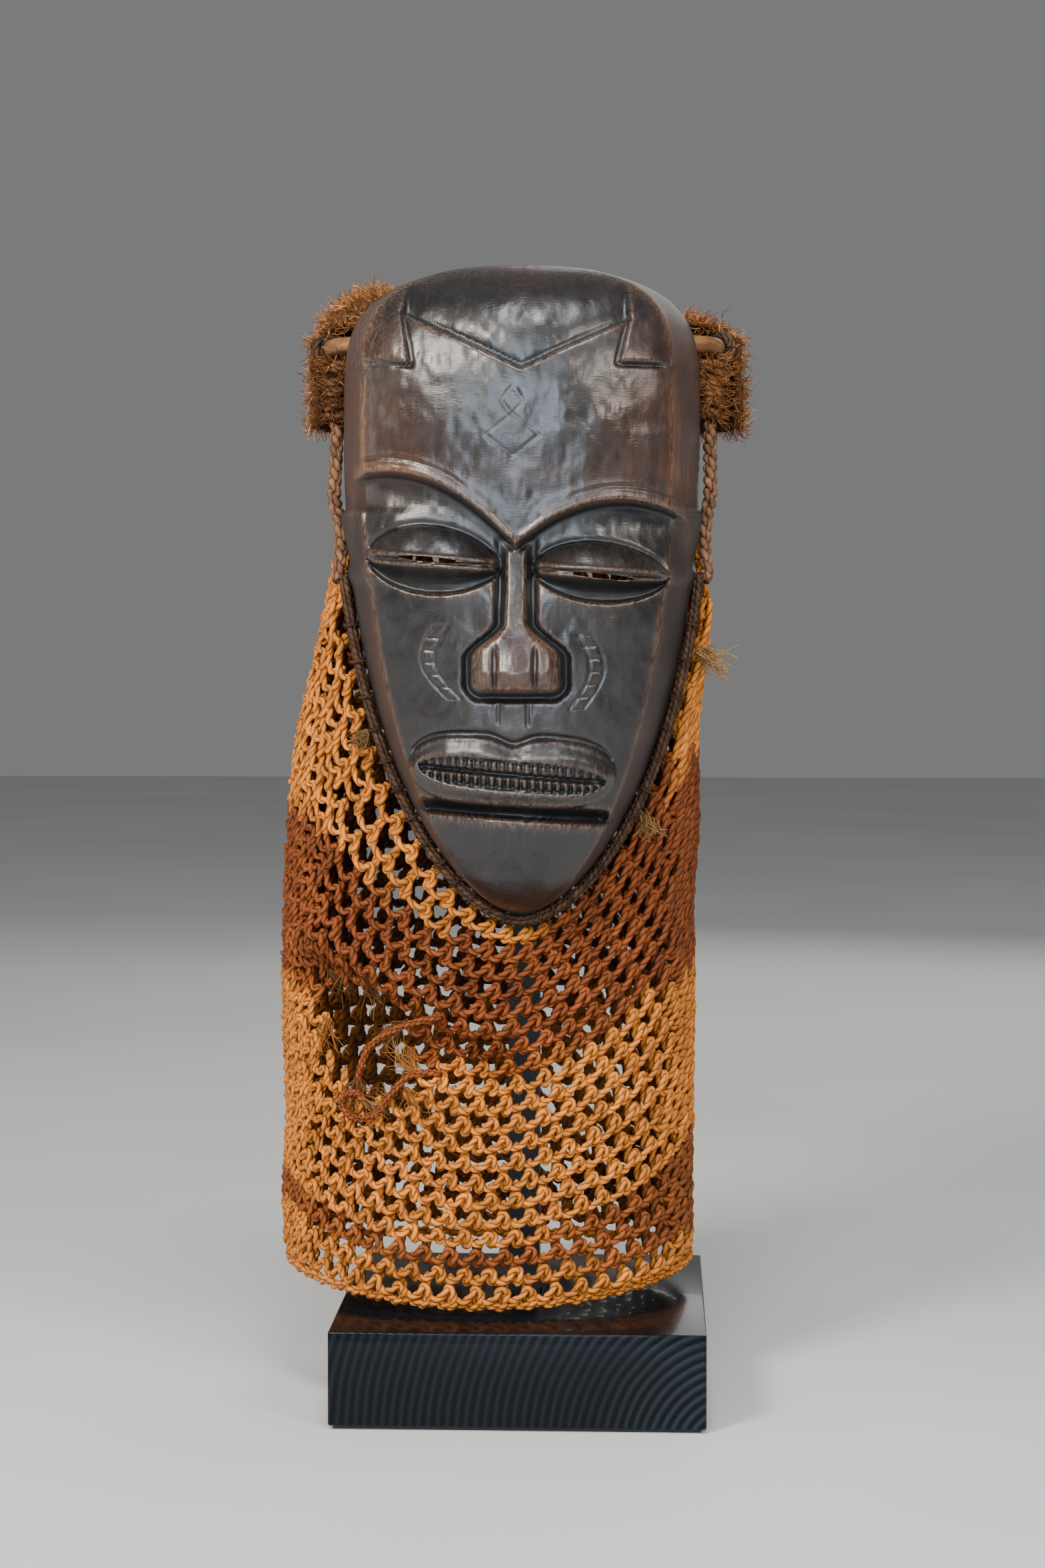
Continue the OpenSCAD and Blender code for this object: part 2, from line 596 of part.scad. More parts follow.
// Each point is the turn round the hood, the height over the block and the way out from the net.
strand_off = net_t / 2 + strand_d / 2 + 0.5;
loose_route = [[-11, 97, 0], [-15.5, 97, 0], [-19.5, 95.5, 0.3], [-22.4, 91, 1], [-24.6, 86, 1.4],
    [-27, 81.5, 1.4], [-30, 78.5, 1], [-33.5, 77.5, 1], [-37, 79, 1.2], [-38.8, 83, 1.6],
    [-37, 87, 2], [-33.6, 88, 2.4], [-31, 85.5, 2.6]];
frayed_route = [[-13, 119, 0], [-18, 117.5, 0], [-23, 115, 0.2], [-27, 112, 0.4], [-30.5, 108, 0.4],
    [-32.8, 103, 0.2], [-34, 98, 0], [-35, 93, -0.3]];
function on_net(route) = [for (q = route) net_skin(q[0], level(q[0], q[1]), strand_off + q[2])];

module loose_strand() {
    color(russet) tube(on_net(loose_route), strand_d / 2);
}

module frayed_strand() {
    color(russet) tube(on_net(frayed_route), strand_d / 2);
}

base_block();
base_felt();
stand_post();
post_screw();
post_washer();
stem_collar();
collar_setscrew();
bracket();
forehead_pad();
side_pads();
mask_face();
rim_cord();
rim_ties();
net_upper_ochre();
net_upper_russet();
net_lower_ochre();
net_lower_russet();
net_hem();
hem_cord();
cane_hoop();
left_hoop_lashing();
right_hoop_lashing();
cap_foundation();
hair_pile();
left_side_knot();
right_side_knot();
left_side_rope();
right_side_rope();
loose_strand();
frayed_strand();
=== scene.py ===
"""The looks of a carved wooden mask with a looped cord hood, on a block stand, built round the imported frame."""

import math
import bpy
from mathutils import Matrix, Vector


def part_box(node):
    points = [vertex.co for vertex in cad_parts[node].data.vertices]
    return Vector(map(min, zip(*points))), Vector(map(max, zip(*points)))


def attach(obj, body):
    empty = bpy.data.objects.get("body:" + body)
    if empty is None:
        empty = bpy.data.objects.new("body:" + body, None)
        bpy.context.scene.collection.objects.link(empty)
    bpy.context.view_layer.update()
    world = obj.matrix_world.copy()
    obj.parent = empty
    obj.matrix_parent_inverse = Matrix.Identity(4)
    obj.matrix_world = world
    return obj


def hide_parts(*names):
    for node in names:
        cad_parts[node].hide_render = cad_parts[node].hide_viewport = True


bl_info = {
    "name": "Carved Mask With Looped Hood",
    "version": (1, 0, 0),
    "blender": (4, 5, 0),
    "location": "View3D > Sidebar > Mask",
    "description": "Builds the carved mask, its looped hood, fibre headdress and stand",
    "category": "Add Mesh",
}

import bpy
import numpy as np
from mathutils import Vector

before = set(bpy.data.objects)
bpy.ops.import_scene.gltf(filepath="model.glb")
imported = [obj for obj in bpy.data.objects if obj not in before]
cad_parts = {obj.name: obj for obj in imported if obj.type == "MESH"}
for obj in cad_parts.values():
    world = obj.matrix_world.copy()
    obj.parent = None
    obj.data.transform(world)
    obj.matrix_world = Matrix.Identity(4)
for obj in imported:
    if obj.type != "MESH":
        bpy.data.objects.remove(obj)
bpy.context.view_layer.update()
MM = 0.001
MASK_LOW, MASK_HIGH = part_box("mask_face")
BLOCK_LOW, BLOCK_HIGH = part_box("base_block")
FELT_LOW, FELT_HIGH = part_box("base_felt")
POST_LOW, POST_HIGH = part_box("stand_post")
HEM_LOW, HEM_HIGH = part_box("net_hem")
CROWN_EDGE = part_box("net_upper_ochre")[1].z
HOOP_LOW, HOOP_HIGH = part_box("cane_hoop")
BANDS = ["net_hem", "net_lower_russet", "net_lower_ochre", "net_upper_russet", "net_upper_ochre"]


# ---- Sizes and colours that a user would change ----

def length(name, text, default, low=0.0001, high=1.0):
    return bpy.props.FloatProperty(
        name=name, description=text, default=default, min=low, max=high, unit="LENGTH", subtype="DISTANCE"
    )


def colour(name, text, default):
    return bpy.props.FloatVectorProperty(
        name=name, description=text, default=default, size=3, min=0.0, max=1.0, subtype="COLOR"
    )


class MASK_PG_carving(bpy.types.PropertyGroup):
    """Sizes of the carved face."""

    height: length("Height", "Chin to crown", MASK_HIGH.z - MASK_LOW.z)
    width: length("Width", "Greatest width without the ears", 0.143)
    depth: length("Forehead depth", "Forehead in front of the rim", 0.060)
    wall: length("Rim wall", "Thickness of the wood at the rim", 0.009)
    behind: length("Front wall", "Thickness of the wood behind the forehead", 0.017)
    tooth: length("Tooth pitch", "Distance from one tooth to the next", 0.0032)
    slit: length("Eye slit", "Height of the see-through slit in each eye", 0.0024)
    cells_across: bpy.props.IntProperty(name="Cells across", description="Grid cells across the face", default=196)
    cells_up: bpy.props.IntProperty(name="Cells up", description="Grid cells up the face", default=340)
    seed: bpy.props.IntProperty(name="Tool marks", description="Seed of the tool marks", default=5)


class MASK_PG_hood(bpy.types.PropertyGroup):
    """Sizes of the looped hood."""

    cord: length("Cord", "Diameter of the netting cord", 0.0027)
    rows: bpy.props.IntProperty(name="Rows", description="Rows of loops from hem to chin", default=20)
    stitches: bpy.props.IntProperty(name="Stitches", description="Loops in one round", default=50)
    wall: length("Wall", "Thickness of the hood's solid in the frame", 0.004)
    rim_cord: length("Rim cord", "Diameter of the dark cord round the rim", 0.0044)
    fold: length("Fold", "Depth of the slanting fold at the left", 0.010)
    seed: bpy.props.IntProperty(name="Hand", description="Seed of the uneven looping", default=11)


class MASK_PG_headdress(bpy.types.PropertyGroup):
    """Sizes of the fibre headdress."""

    fibres: bpy.props.IntProperty(name="Fibres", description="Fibres in the pile", default=15000)
    fibre_length: length("Fibre length", "Length of a chopped fibre", 0.0075)
    fibre: length("Fibre", "Thickness of a fibre", 0.00046)
    rope: length("Rope", "Diameter of the side ropes", 0.0056)
    seed: bpy.props.IntProperty(name="Tangle", description="Seed of the pile's tangle", default=3)


class MASK_PG_colours(bpy.types.PropertyGroup):
    """Colours of the finishes."""

    ochre: colour("Ochre cord", "Undyed cord", (0.66, 0.215, 0.028))
    russet: colour("Russet cord", "Dyed cord", (0.215, 0.052, 0.010))
    dark_cord: colour("Dark cord", "Cord round the rim", (0.062, 0.030, 0.015))
    brown_cord: colour("Brown cord", "Side ropes", (0.20, 0.095, 0.045))
    fibre: colour("Fibre", "Chopped fibre of the pile", (0.235, 0.092, 0.028))
    patina: colour("Patina", "Darkest patina of the wood", (0.0045, 0.0045, 0.005))
    worn: colour("Worn wood", "Brown wood where hands have rubbed", (0.060, 0.020, 0.008))
    lacquer: colour("Lacquer", "Lacquer on the block", (0.0022, 0.0035, 0.0052))


# ---- Small tools ----

def ease(low, high, x):
    t = np.clip((x - low) / (high - low), 0.0, 1.0)
    return t * t * (3 - 2 * t)


def mix(a, b, t):
    return a + (b - a) * t


def bell(x, width):
    return np.exp(-((x / width) ** 2))


def unit(vectors):
    return vectors / np.maximum(np.linalg.norm(vectors, axis=-1, keepdims=True), 1e-9)


def uneven(x, y, seed):
    """Smooth noise from -1 to 1 over a plane, one lump to each whole number."""
    table = np.random.default_rng(seed).uniform(-1, 1, (64, 64))
    cell_x, cell_y = np.floor(x).astype(int), np.floor(y).astype(int)
    tx, ty = ease(0, 1, x - cell_x), ease(0, 1, y - cell_y)
    pick = lambda i, j: table[(cell_x + i) % 64, (cell_y + j) % 64]
    return mix(mix(pick(0, 0), pick(1, 0), tx), mix(pick(0, 1), pick(1, 1), tx), ty)


def smooth_line(points, steps):
    """A curve through the points, with so many steps from one to the next."""
    p = np.vstack([2 * points[0] - points[1], points, 2 * points[-1] - points[-2]])
    t = np.arange(steps)[None, :, None] / steps
    a, b, c, d = (p[k : len(p) - 3 + k, None, :] for k in range(4))
    curve = 0.5 * (2 * b + (c - a) * t + (2 * a - 5 * b + 4 * c - d) * t**2 + (3 * b - a - 3 * c + d) * t**3)
    return np.vstack([curve.reshape(-1, points.shape[1]), points[-1:]])


def deselect():
    if bpy.context.object and bpy.context.object.mode != "OBJECT":
        bpy.ops.object.mode_set(mode="OBJECT")
    bpy.ops.object.select_all(action="DESELECT")


def pick_only(piece):
    deselect()
    piece.select_set(True)
    bpy.context.view_layer.objects.active = piece


def settle(piece):
    """Moves the piece's place into its mesh, so that its object sits at the origin."""
    pick_only(piece)
    bpy.ops.object.transform_apply(location=True, rotation=True, scale=True)
    return piece


def seat(piece, body, slot, finish, *nodes):
    """Gives the piece its finish and the body that it rides on, and hides the CAD nodes that it stands for."""
    piece.data.materials.clear()
    piece.data.materials.append(finish)
    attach(piece, body)
    if nodes:
        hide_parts(*nodes)
    return piece


def mesh_piece(name, points, quads, uv=None, dye=None):
    """A smooth-shaded object from arrays of points and four-sided faces."""
    mesh = bpy.data.meshes.new(name)
    mesh.vertices.add(len(points))
    mesh.vertices.foreach_set("co", np.asarray(points, np.float32).ravel())
    mesh.loops.add(quads.size)
    mesh.loops.foreach_set("vertex_index", quads.astype(np.int32).ravel())
    mesh.polygons.add(len(quads))
    mesh.polygons.foreach_set("loop_start", np.arange(0, quads.size, 4, dtype=np.int32))
    mesh.polygons.foreach_set("use_smooth", np.ones(len(quads), bool))
    if uv is not None:
        mesh.uv_layers.new(name="along").data.foreach_set("uv", np.asarray(uv, np.float32).ravel())
    if dye is not None:
        layer = mesh.color_attributes.new("dye", "FLOAT_COLOR", "POINT")
        layer.data.foreach_set("color", np.hstack([dye, np.ones((len(dye), 1))]).astype(np.float32).ravel())
    mesh.update(calc_edges=True)
    mesh.validate()
    piece = bpy.data.objects.new(name, mesh)
    bpy.context.collection.objects.link(piece)
    return piece


PLY_STEP = 0.66


class Strands:
    """Gathers swept cords into one mesh. Its UV map runs once round each cord, and along it in cord widths."""

    def __init__(self, sides=6):
        self.sides = sides
        self.count = 0
        self.points, self.quads, self.uv, self.dye = [], [], [], []

    def sweep(self, line, out, radius, dye, start=0.0, plies=0.0, inner=1.0):
        """A tube along the line, rolled so that it keeps its face to out. Radius and dye may change along it.
        With plies, its section is drawn out by that share, and turns as the plies of spun cord do.
        Its dye is inner times as strong on the face away from out: painted shade, which darkens the cord's inner
        side as if it lay in shadow."""
        sides, n = self.sides, len(line)
        along = unit(np.gradient(line, axis=0))
        side = unit(np.cross(along, np.broadcast_to(out, line.shape)) + 1e-7)
        up = np.cross(side, along)
        angle = np.arange(sides) * 2 * np.pi / sides
        r = np.broadcast_to(np.asarray(radius, float), (n,))[:, None, None]
        run = start + np.concatenate([[0], np.cumsum(np.linalg.norm(np.diff(line, axis=0), axis=1))]) / (
            2 * max(float(np.mean(r)), 1e-6)
        )
        ring = side[:, None] * np.cos(angle)[None, :, None] + up[:, None] * np.sin(angle)[None, :, None]
        if plies:
            turn = np.pi / 2 - np.pi * PLY_STEP * run
            r = r * (1 + plies * np.cos(2 * (angle[None, :, None] - turn[:, None, None])))
        self.points.append((line[:, None] + r * ring).reshape(-1, 3))
        i, k = np.meshgrid(np.arange(n - 1), np.arange(sides), indexing="ij")
        j = (k + 1) % sides
        walls = np.stack([i * sides + k, (i + 1) * sides + k, (i + 1) * sides + j, i * sides + j], -1).reshape(-1, 4)
        far = (n - 1) * sides
        front = [[0, m, m + 1, m + 2] for m in range(1, sides - 2, 2)] if sides > 3 else [[0, 1, 2, 2]]
        caps = np.array(front + [[far + q for q in reversed(f)] for f in front])
        if sides == 3:
            caps = np.empty((0, 4), int)
        low, high, near, next_ = k / sides, (k + 1) / sides, run[i], run[i + 1]
        wall_uv = np.stack([low, near, low, next_, high, next_, high, near], -1).reshape(-1, 2)
        self.quads.append(np.vstack([walls, caps]) + self.count)
        self.uv.append(np.vstack([wall_uv, np.zeros((caps.size, 2))]))
        # painted shade: the face away from out is darkened to inner times its dye
        painted_shade = np.tile(mix(inner, 1.0, ease(-0.95, 0.35, np.sin(angle))), n)[:, None]
        self.dye.append(np.repeat(np.broadcast_to(dye, (n, 3)), sides, axis=0) * painted_shade)
        self.count += n * sides

    def piece(self, name):
        return mesh_piece(
            name, np.vstack(self.points), np.vstack(self.quads), np.vstack(self.uv), np.vstack(self.dye)
        )


def twisted(strands, line, out, diameter, dye, lay, plies=2, phase=0.0):
    """A rope of real plies that wind round the line, one turn to each lay."""
    along = unit(np.gradient(line, axis=0))
    side = unit(np.cross(along, np.broadcast_to(out, line.shape)) + 1e-7)
    up = np.cross(side, along)
    run = np.concatenate([[0], np.cumsum(np.linalg.norm(np.diff(line, axis=0), axis=1))])
    for ply in range(plies):
        turn = (run / lay * 2 * np.pi + ply * 2 * np.pi / plies + phase)[:, None]
        centre = line + diameter * 0.235 * (side * np.cos(turn) + up * np.sin(turn))
        strands.sweep(centre, out, diameter * 0.29, dye * (0.9 + 0.2 * ply))


def curly_fibres(strands, roots, ways, lengths, thickness, dye, rng, curl=0.35, rings=5):
    """Short fibres that leave their roots one way and curl."""
    for root, way, span, shade in zip(roots, ways, lengths, dye):
        bend = unit(np.cross(way, rng.normal(size=3)))
        t = np.linspace(0, 1, rings)[:, None]
        wave = np.sin(t * rng.uniform(2.5, 5.5) + rng.uniform(0, 6)) - np.sin(rng.uniform(0, 1))
        line = root + way * span * t + bend * span * curl * (wave * t)
        strands.sweep(line, bend + 0.3 * way, thickness / 2 * (1 - 0.5 * t[:, 0]), shade)


# ---- Finishes ----

class Finish:
    """A material under its own name, and short calls that add and join its nodes."""

    def __init__(self, name, roughness=0.5, **sockets):
        self.material = bpy.data.materials.new(name)
        self.material.use_nodes = True
        self.tree = self.material.node_tree
        self.shader = self.tree.nodes["Principled BSDF"]
        self.shader.inputs["Roughness"].default_value = roughness
        for socket, value in sockets.items():
            self.shader.inputs[socket.replace("_", " ")].default_value = value
        self.place = self.tree.nodes.new("ShaderNodeTexCoord").outputs["Object"]

    def join(self, value, socket):
        if isinstance(value, bpy.types.NodeSocket):
            self.tree.links.new(value, socket)
        elif isinstance(value, tuple) and len(value) == 3 and len(socket.default_value) == 4:
            socket.default_value = (*value, 1.0)
        else:
            socket.default_value = value

    def node(self, kind, inputs=(), out=0, **settings):
        made = self.tree.nodes.new("ShaderNode" + kind)
        for key, value in settings.items():
            setattr(made, key, value)
        for key, value in dict(inputs).items():
            self.join(value, made.inputs[key])
        return made.outputs[out]

    def attribute(self, name, out="Color"):
        return self.node("Attribute", attribute_name=name, out=out)

    def math(self, operation, a, b=0.0):
        return self.node("Math", {0: a, 1: b}, operation=operation)

    def noise(self, scale, detail=4.0, stretch=(1, 1, 1), place=None, rough=0.55):
        where = self.node("Mapping", {"Vector": self.place if place is None else place, "Scale": stretch})
        return self.node("TexNoise", {"Vector": where, "Scale": scale, "Detail": detail, "Roughness": rough})

    def ramp(self, value, *stops):
        made = self.tree.nodes.new("ShaderNodeValToRGB")
        self.join(value, made.inputs[0])
        band = made.color_ramp
        while len(band.elements) < len(stops):
            band.elements.new(0.5)
        for element, (at, tone) in zip(band.elements, stops):
            element.position = at
            element.color = (*tone, 1.0) if isinstance(tone, tuple) else (tone, tone, tone, 1.0)
        return made.outputs[0]

    def blend(self, share, a, b, way="MIX"):
        made = self.tree.nodes.new("ShaderNodeMix")
        made.data_type = "RGBA"
        made.blend_type = way
        self.join(share, made.inputs[0])
        self.join(a, made.inputs[6])
        self.join(b, made.inputs[7])
        return made.outputs[2]

    def bump(self, height, distance, strength=1.0, under=None):
        inputs = {"Height": height, "Distance": distance, "Strength": strength}
        if under is not None:
            inputs["Normal"] = under
        return self.node("Bump", inputs)

    def done(self, **sockets):
        for socket, value in sockets.items():
            self.join(value, self.shader.inputs[socket.replace("_", " ")])
        return self.material


def carved_wood_finish(colours):
    f = Finish("carved_wood", Coat_Weight=0.28, Coat_Roughness=0.34, Specular_IOR_Level=0.62)
    worn = f.attribute("dye")
    share = f.node("SeparateColor", {0: worn}, out=0)
    rubbed = f.node("SeparateColor", {0: worn}, out=1)
    matt = f.node("SeparateColor", {0: worn}, out=2)
    cloud = f.noise(28, 5)
    streak = f.noise(260, 4, stretch=(1, 1, 0.12))
    fleck = f.noise(900, 3, stretch=(1, 1, 0.3))
    grained = f.math("ADD", share, f.math("MULTIPLY", f.math("SUBTRACT", streak, 0.5), 0.55))
    grained = f.math("ADD", grained, f.math("MULTIPLY", f.math("SUBTRACT", cloud, 0.5), 0.5))
    wood = f.ramp(
        grained,
        (0.12, tuple(colours.patina)),
        (0.48, tuple(mix(np.array(colours.patina), np.array(colours.worn), 0.42))),
        (0.72, tuple(colours.worn)),
        (1.0, (0.17, 0.080, 0.038)),
    )
    bright = f.math("MULTIPLY", rubbed, f.ramp(fleck, (0.40, 0.0), (0.62, 1.0)))
    wood = f.blend(f.math("MULTIPLY", bright, 0.38), wood, (0.34, 0.20, 0.12))
    rough = f.blend(matt, f.ramp(f.noise(70, 5), (0.3, 0.25), (0.7, 0.44)), (0.66, 0.66, 0.66))
    grain = f.bump(streak, 0.0004, 0.55)
    scrape = f.bump(f.noise(420, 3, stretch=(1, 1, 4)), 0.00025, 0.4, under=grain)
    return f.done(Base_Color=wood, Roughness=rough, Normal=scrape)


def lacquer_finish(colours):
    """Gloss lacquer that lets the end grain's rings through. The rings are real grain, and they are painted lighter
    towards the lower right of the block's ends, round their centre, as a painted highlight.
    """
    f = Finish("black_lacquer", 0.25, Coat_Weight=0.12, Coat_Roughness=0.04, Specular_IOR_Level=0.09)
    half = BLOCK_HIGH.x
    centre = f.node("Mapping", {"Vector": f.place, "Location": (-half * 1.16, 0.0, 0.008), "Scale": (1.0, 0.0, 1.0)})
    wobble = f.math("MULTIPLY", f.math("SUBTRACT", f.noise(18, 2, stretch=(1, 0.15, 1)), 0.5), 0.004)
    far = f.math("ADD", f.node("VectorMath", {0: centre}, operation="LENGTH", out="Value"), wobble)
    ring = f.math("ABSOLUTE", f.math("SINE", f.math("MULTIPLY", far, math.pi / 0.0036)))
    ridge = f.math("POWER", ring, 3.0)
    # painted highlight: the rings grow lighter near their centre, off the block's lower right
    near = f.node(
        "MapRange", {"Value": far, "From Min": 0.015, "From Max": 0.060, "To Min": 1.0, "To Max": 0.30}
    )
    end = f.math("ABSOLUTE", f.node("SeparateXYZ", {0: f.place}, out="Y"))
    end = f.math("GREATER_THAN", end, half - 0.0004)
    height = f.math("MULTIPLY", f.math("MULTIPLY", ridge, near), f.math("ADD", f.math("MULTIPLY", end, 0.94), 0.06))
    orange_peel = f.bump(f.noise(500, 2), 0.0001, 0.25)
    # real ring colour, with the painted highlight carried in through near
    tone = f.blend(height, tuple(colours.lacquer), (0.021, 0.030, 0.037))
    return f.done(Base_Color=tone, Normal=f.bump(height, 0.0004, 0.7, under=orange_peel))


def felt_finish():
    f = Finish("black_felt", 0.95, Sheen_Weight=0.4)
    fuzz = f.noise(2200, 4)
    return f.done(
        Base_Color=f.ramp(fuzz, (0.3, (0.010, 0.010, 0.011)), (0.7, (0.030, 0.030, 0.032))),
        Normal=f.bump(fuzz, 0.0004, 0.9),
    )


def steel_finish(name, dark, light, roughness, metallic):
    f = Finish(name, roughness, Metallic=metallic)
    brushed = f.noise(700, 3, stretch=(1, 1, 0.06))
    worn = f.ramp(f.noise(45, 6), (0.35, 0.0), (0.75, 1.0))
    return f.done(
        Base_Color=f.blend(worn, dark, light),
        Roughness=f.ramp(brushed, (0.3, roughness * 0.8), (0.7, roughness * 1.25)),
        Normal=f.bump(brushed, 0.00015, 0.35),
    )


def rubber_finish():
    f = Finish("pad_rubber", 0.8)
    speckle = f.noise(1500, 3)
    return f.done(
        Base_Color=f.ramp(speckle, (0.3, (0.012, 0.012, 0.012)), (0.7, (0.03, 0.03, 0.03))),
        Normal=f.bump(speckle, 0.0002, 0.5),
    )


def cane_finish():
    f = Finish("cane", 0.42, Coat_Weight=0.15)
    streak = f.noise(130, 5, stretch=(0.15, 1, 2.2))
    return f.done(
        Base_Color=f.ramp(
            streak, (0.25, (0.05, 0.020, 0.007)), (0.5, (0.16, 0.066, 0.020)), (0.8, (0.32, 0.160, 0.052))
        ),
        Normal=f.bump(streak, 0.0004, 0.6),
    )


def cord_finish(name, roughness=0.58):
    """Spun cord: the plies' grooves wind along the UV map, with fine fibres inside each ply. The grooves are painted
    dark, as the shade between the plies.
    """
    f = Finish(name, roughness, Sheen_Weight=0.0, Specular_IOR_Level=0.20)
    uv = f.node("UVMap", uv_map="along")
    u = f.node("SeparateXYZ", {0: uv}, out="X")
    v = f.node("SeparateXYZ", {0: uv}, out="Y")
    wind = f.math("ADD", f.math("MULTIPLY", u, 2.0), f.math("MULTIPLY", v, PLY_STEP))
    lump = f.math("ABSOLUTE", f.math("SINE", f.math("MULTIPLY", wind, math.pi)))
    round_ply = f.math("POWER", lump, 0.55)
    twist = f.node("CombineXYZ", {"X": f.math("MULTIPLY", wind, 5.0), "Y": f.math("MULTIPLY", v, 0.5)})
    fine = f.noise(2.4, 3, place=twist)
    patch = f.noise(160, 3)
    tone = f.blend(1.0, f.attribute("dye"), f.ramp(patch, (0.3, 0.72), (0.7, 1.22)), "MULTIPLY")
    tone = f.blend(1.0, tone, f.ramp(fine, (0.3, 0.80), (0.7, 1.15)), "MULTIPLY")
    # painted shade: the colour darkens in the grooves between the plies
    tone = f.blend(1.0, tone, f.ramp(round_ply, (0.10, (0.30, 0.20, 0.14)), (0.72, 1.0)), "MULTIPLY")
    ply_bump = f.bump(round_ply, 0.0007, 1.0)
    return f.done(Base_Color=tone, Normal=f.bump(fine, 0.0003, 0.6, under=ply_bump))


def fibre_finish(name):
    f = Finish(name, 0.8, Specular_IOR_Level=0.15)
    patch = f.noise(220, 4)
    tone = f.blend(1.0, f.attribute("dye"), f.ramp(patch, (0.3, 0.55), (0.7, 1.25)), "MULTIPLY")
    return f.done(Base_Color=tone, Normal=f.bump(f.noise(1800, 3), 0.0003, 0.6))


MADE = {}


def finish(name):
    """The finish of a material slot, made the first time that it is asked for."""
    if name in MADE:
        return bpy.data.materials[MADE[name]]
    colours = bpy.context.scene.mask_colours
    makers = {
        "carved_wood": lambda: carved_wood_finish(colours),
        "black_lacquer": lambda: lacquer_finish(colours),
        "black_felt": felt_finish,
        "blackened_steel": lambda: steel_finish(
            "blackened_steel", (0.010, 0.011, 0.014), (0.028, 0.028, 0.03), 0.34, 0.2
        ),
        "zinc_steel": lambda: steel_finish("zinc_steel", (0.45, 0.45, 0.44), (0.62, 0.61, 0.58), 0.35, 1.0),
        "pad_rubber": rubber_finish,
        "cane": cane_finish,
        "chopped_fibre": lambda: fibre_finish("chopped_fibre"),
    }
    made = makers[name]() if name in makers else cord_finish(name)
    made.name = "finish_" + name
    MADE[name] = made.name
    return made


# ---- The mask's carved surface, in millimetres: u to the right, v up from its middle, w forward from the rim ----

WIDEST = 60.0
HAIRLINE = [(-62, 89), (-55.3, 88.2), (-40.4, 85.9), (-44.3, 107.5), (2.2, 84.9), (43.2, 104.4), (39.4, 86.4),
            (55.8, 86.4), (62, 87)]
SLIT_AT = 8.2


def plain_half_width(v, size):
    above = np.clip((v - WIDEST) / (size.height / MM / 2 - WIDEST), 0, 1)
    below = np.clip((WIDEST - v) / (size.height / MM / 2 + WIDEST), 0, 1)
    share = np.where(v > WIDEST, np.sqrt(1 - above**5), (1 - below**2.1) ** 0.57)
    return size.width / MM / 2 * share


def half_width(v, size):
    ear = 2.4 * (1 - ease(29, 33, v)) * np.clip((v - 12) / 19, 0, 1) + 1.6 * bell(v - 6, 3.5)
    return plain_half_width(v, size) + ear


def middle_depth(v, size):
    top = np.clip((v - WIDEST) / (size.height / MM / 2 - WIDEST), 0, 1)
    low = np.clip((WIDEST - v) / (size.height / MM / 2 + WIDEST), 0, 1)
    depth = size.depth / MM
    return np.where(v > WIDEST, depth * (1 - top**3.2) ** 0.6, (depth - 20 * low) * np.sqrt(1 - low**9))


def line_distance(u, v, points):
    """How far each place is from a line through the points."""
    far = np.full_like(u, 1e9)
    for (x0, y0), (x1, y1) in zip(points, points[1:]):
        dx, dy = x1 - x0, y1 - y0
        t = np.clip(((u - x0) * dx + (v - y0) * dy) / (dx * dx + dy * dy), 0, 1)
        far = np.minimum(far, np.hypot(u - x0 - t * dx, v - y0 - t * dy))
    return far


def slanted(u, v):
    """The height of a place once the brow's and the eyes' slant is taken off."""
    return v + u * (0.04 + 0.085 * bell(v - 40, 30))


def plain_form(u, v, size, turn=0.80, soft=0.014):
    """The mask before it is carved: a gently crowned front that breaks to steep side planes."""
    edge = np.clip(np.abs(u) / np.maximum(half_width(v, size), 0.01), 0, 1)
    front = 1 - 0.30 * (edge / turn) ** 2.2
    side = 0.70 * ((1 - edge) / (1 - turn)) ** 0.8
    share = -soft * np.log(np.exp(-front / soft) + np.exp(-side / soft))
    return middle_depth(v, size) * np.clip(share, 0, None)


def cut_hairline(u, v, w):
    """The cap stands back between two pointed tabs, behind a scored line."""
    parting = np.interp(u, [-44.3, 2.2, 43.2], [107.5, 84.9, 104.4])
    inside = ease(-45, -42.5, u) * (1 - ease(41.5, 44, u))
    above = v - parting
    w = w - 4.6 * inside * ease(-0.3, 1.0, above) * np.exp(-np.clip(above, 0, None) / 12)
    for sign, foot, tip in ((-1, (-40.4, 86.6), (-44.3, 107.5)), (1, (39.4, 86.4), (43.2, 104.4))):
        inner = foot[0] + (tip[0] - foot[0]) * (v - foot[1]) / (tip[1] - foot[1])
        tab = ease(-0.6, 0.6, sign * (u - inner)) * ease(-0.6, 0.6, v - foot[1]) * (1 - ease(90, 118, v))
        w = w + 2.8 * tab * (1 - 0.8 * ease(52, 60, np.abs(u)))
    return w - 2.0 * bell(line_distance(u, v, HAIRLINE), 0.85) * (1 - ease(54, 60, np.abs(u)))


def cut_brow(u, v, w):
    """The brow overhangs the eyes, with a rubbed edge and a lighter line scored above it."""
    s, a = slanted(u, v), np.abs(u)
    brow = 17 + 22.5 * (1 - (1 - a / 46) ** 2)
    below = brow - s
    temple = 1 - ease(59, 68, a)
    w = w - 10.5 * ease(-0.3, 2.6, below) * (1 - 0.85 * ease(6, 32, below)) * temple
    w = w + 1.3 * bell(s - brow - 1.0, 1.5) * temple
    w = w + 1.0 * bell(s - brow - 4.0, 3.0) * temple * ease(3, 12, a)
    return w - 0.9 * bell(s - brow - 5.2 - 0.02 * (a - 30), 0.7) * ease(16, 24, a) * temple


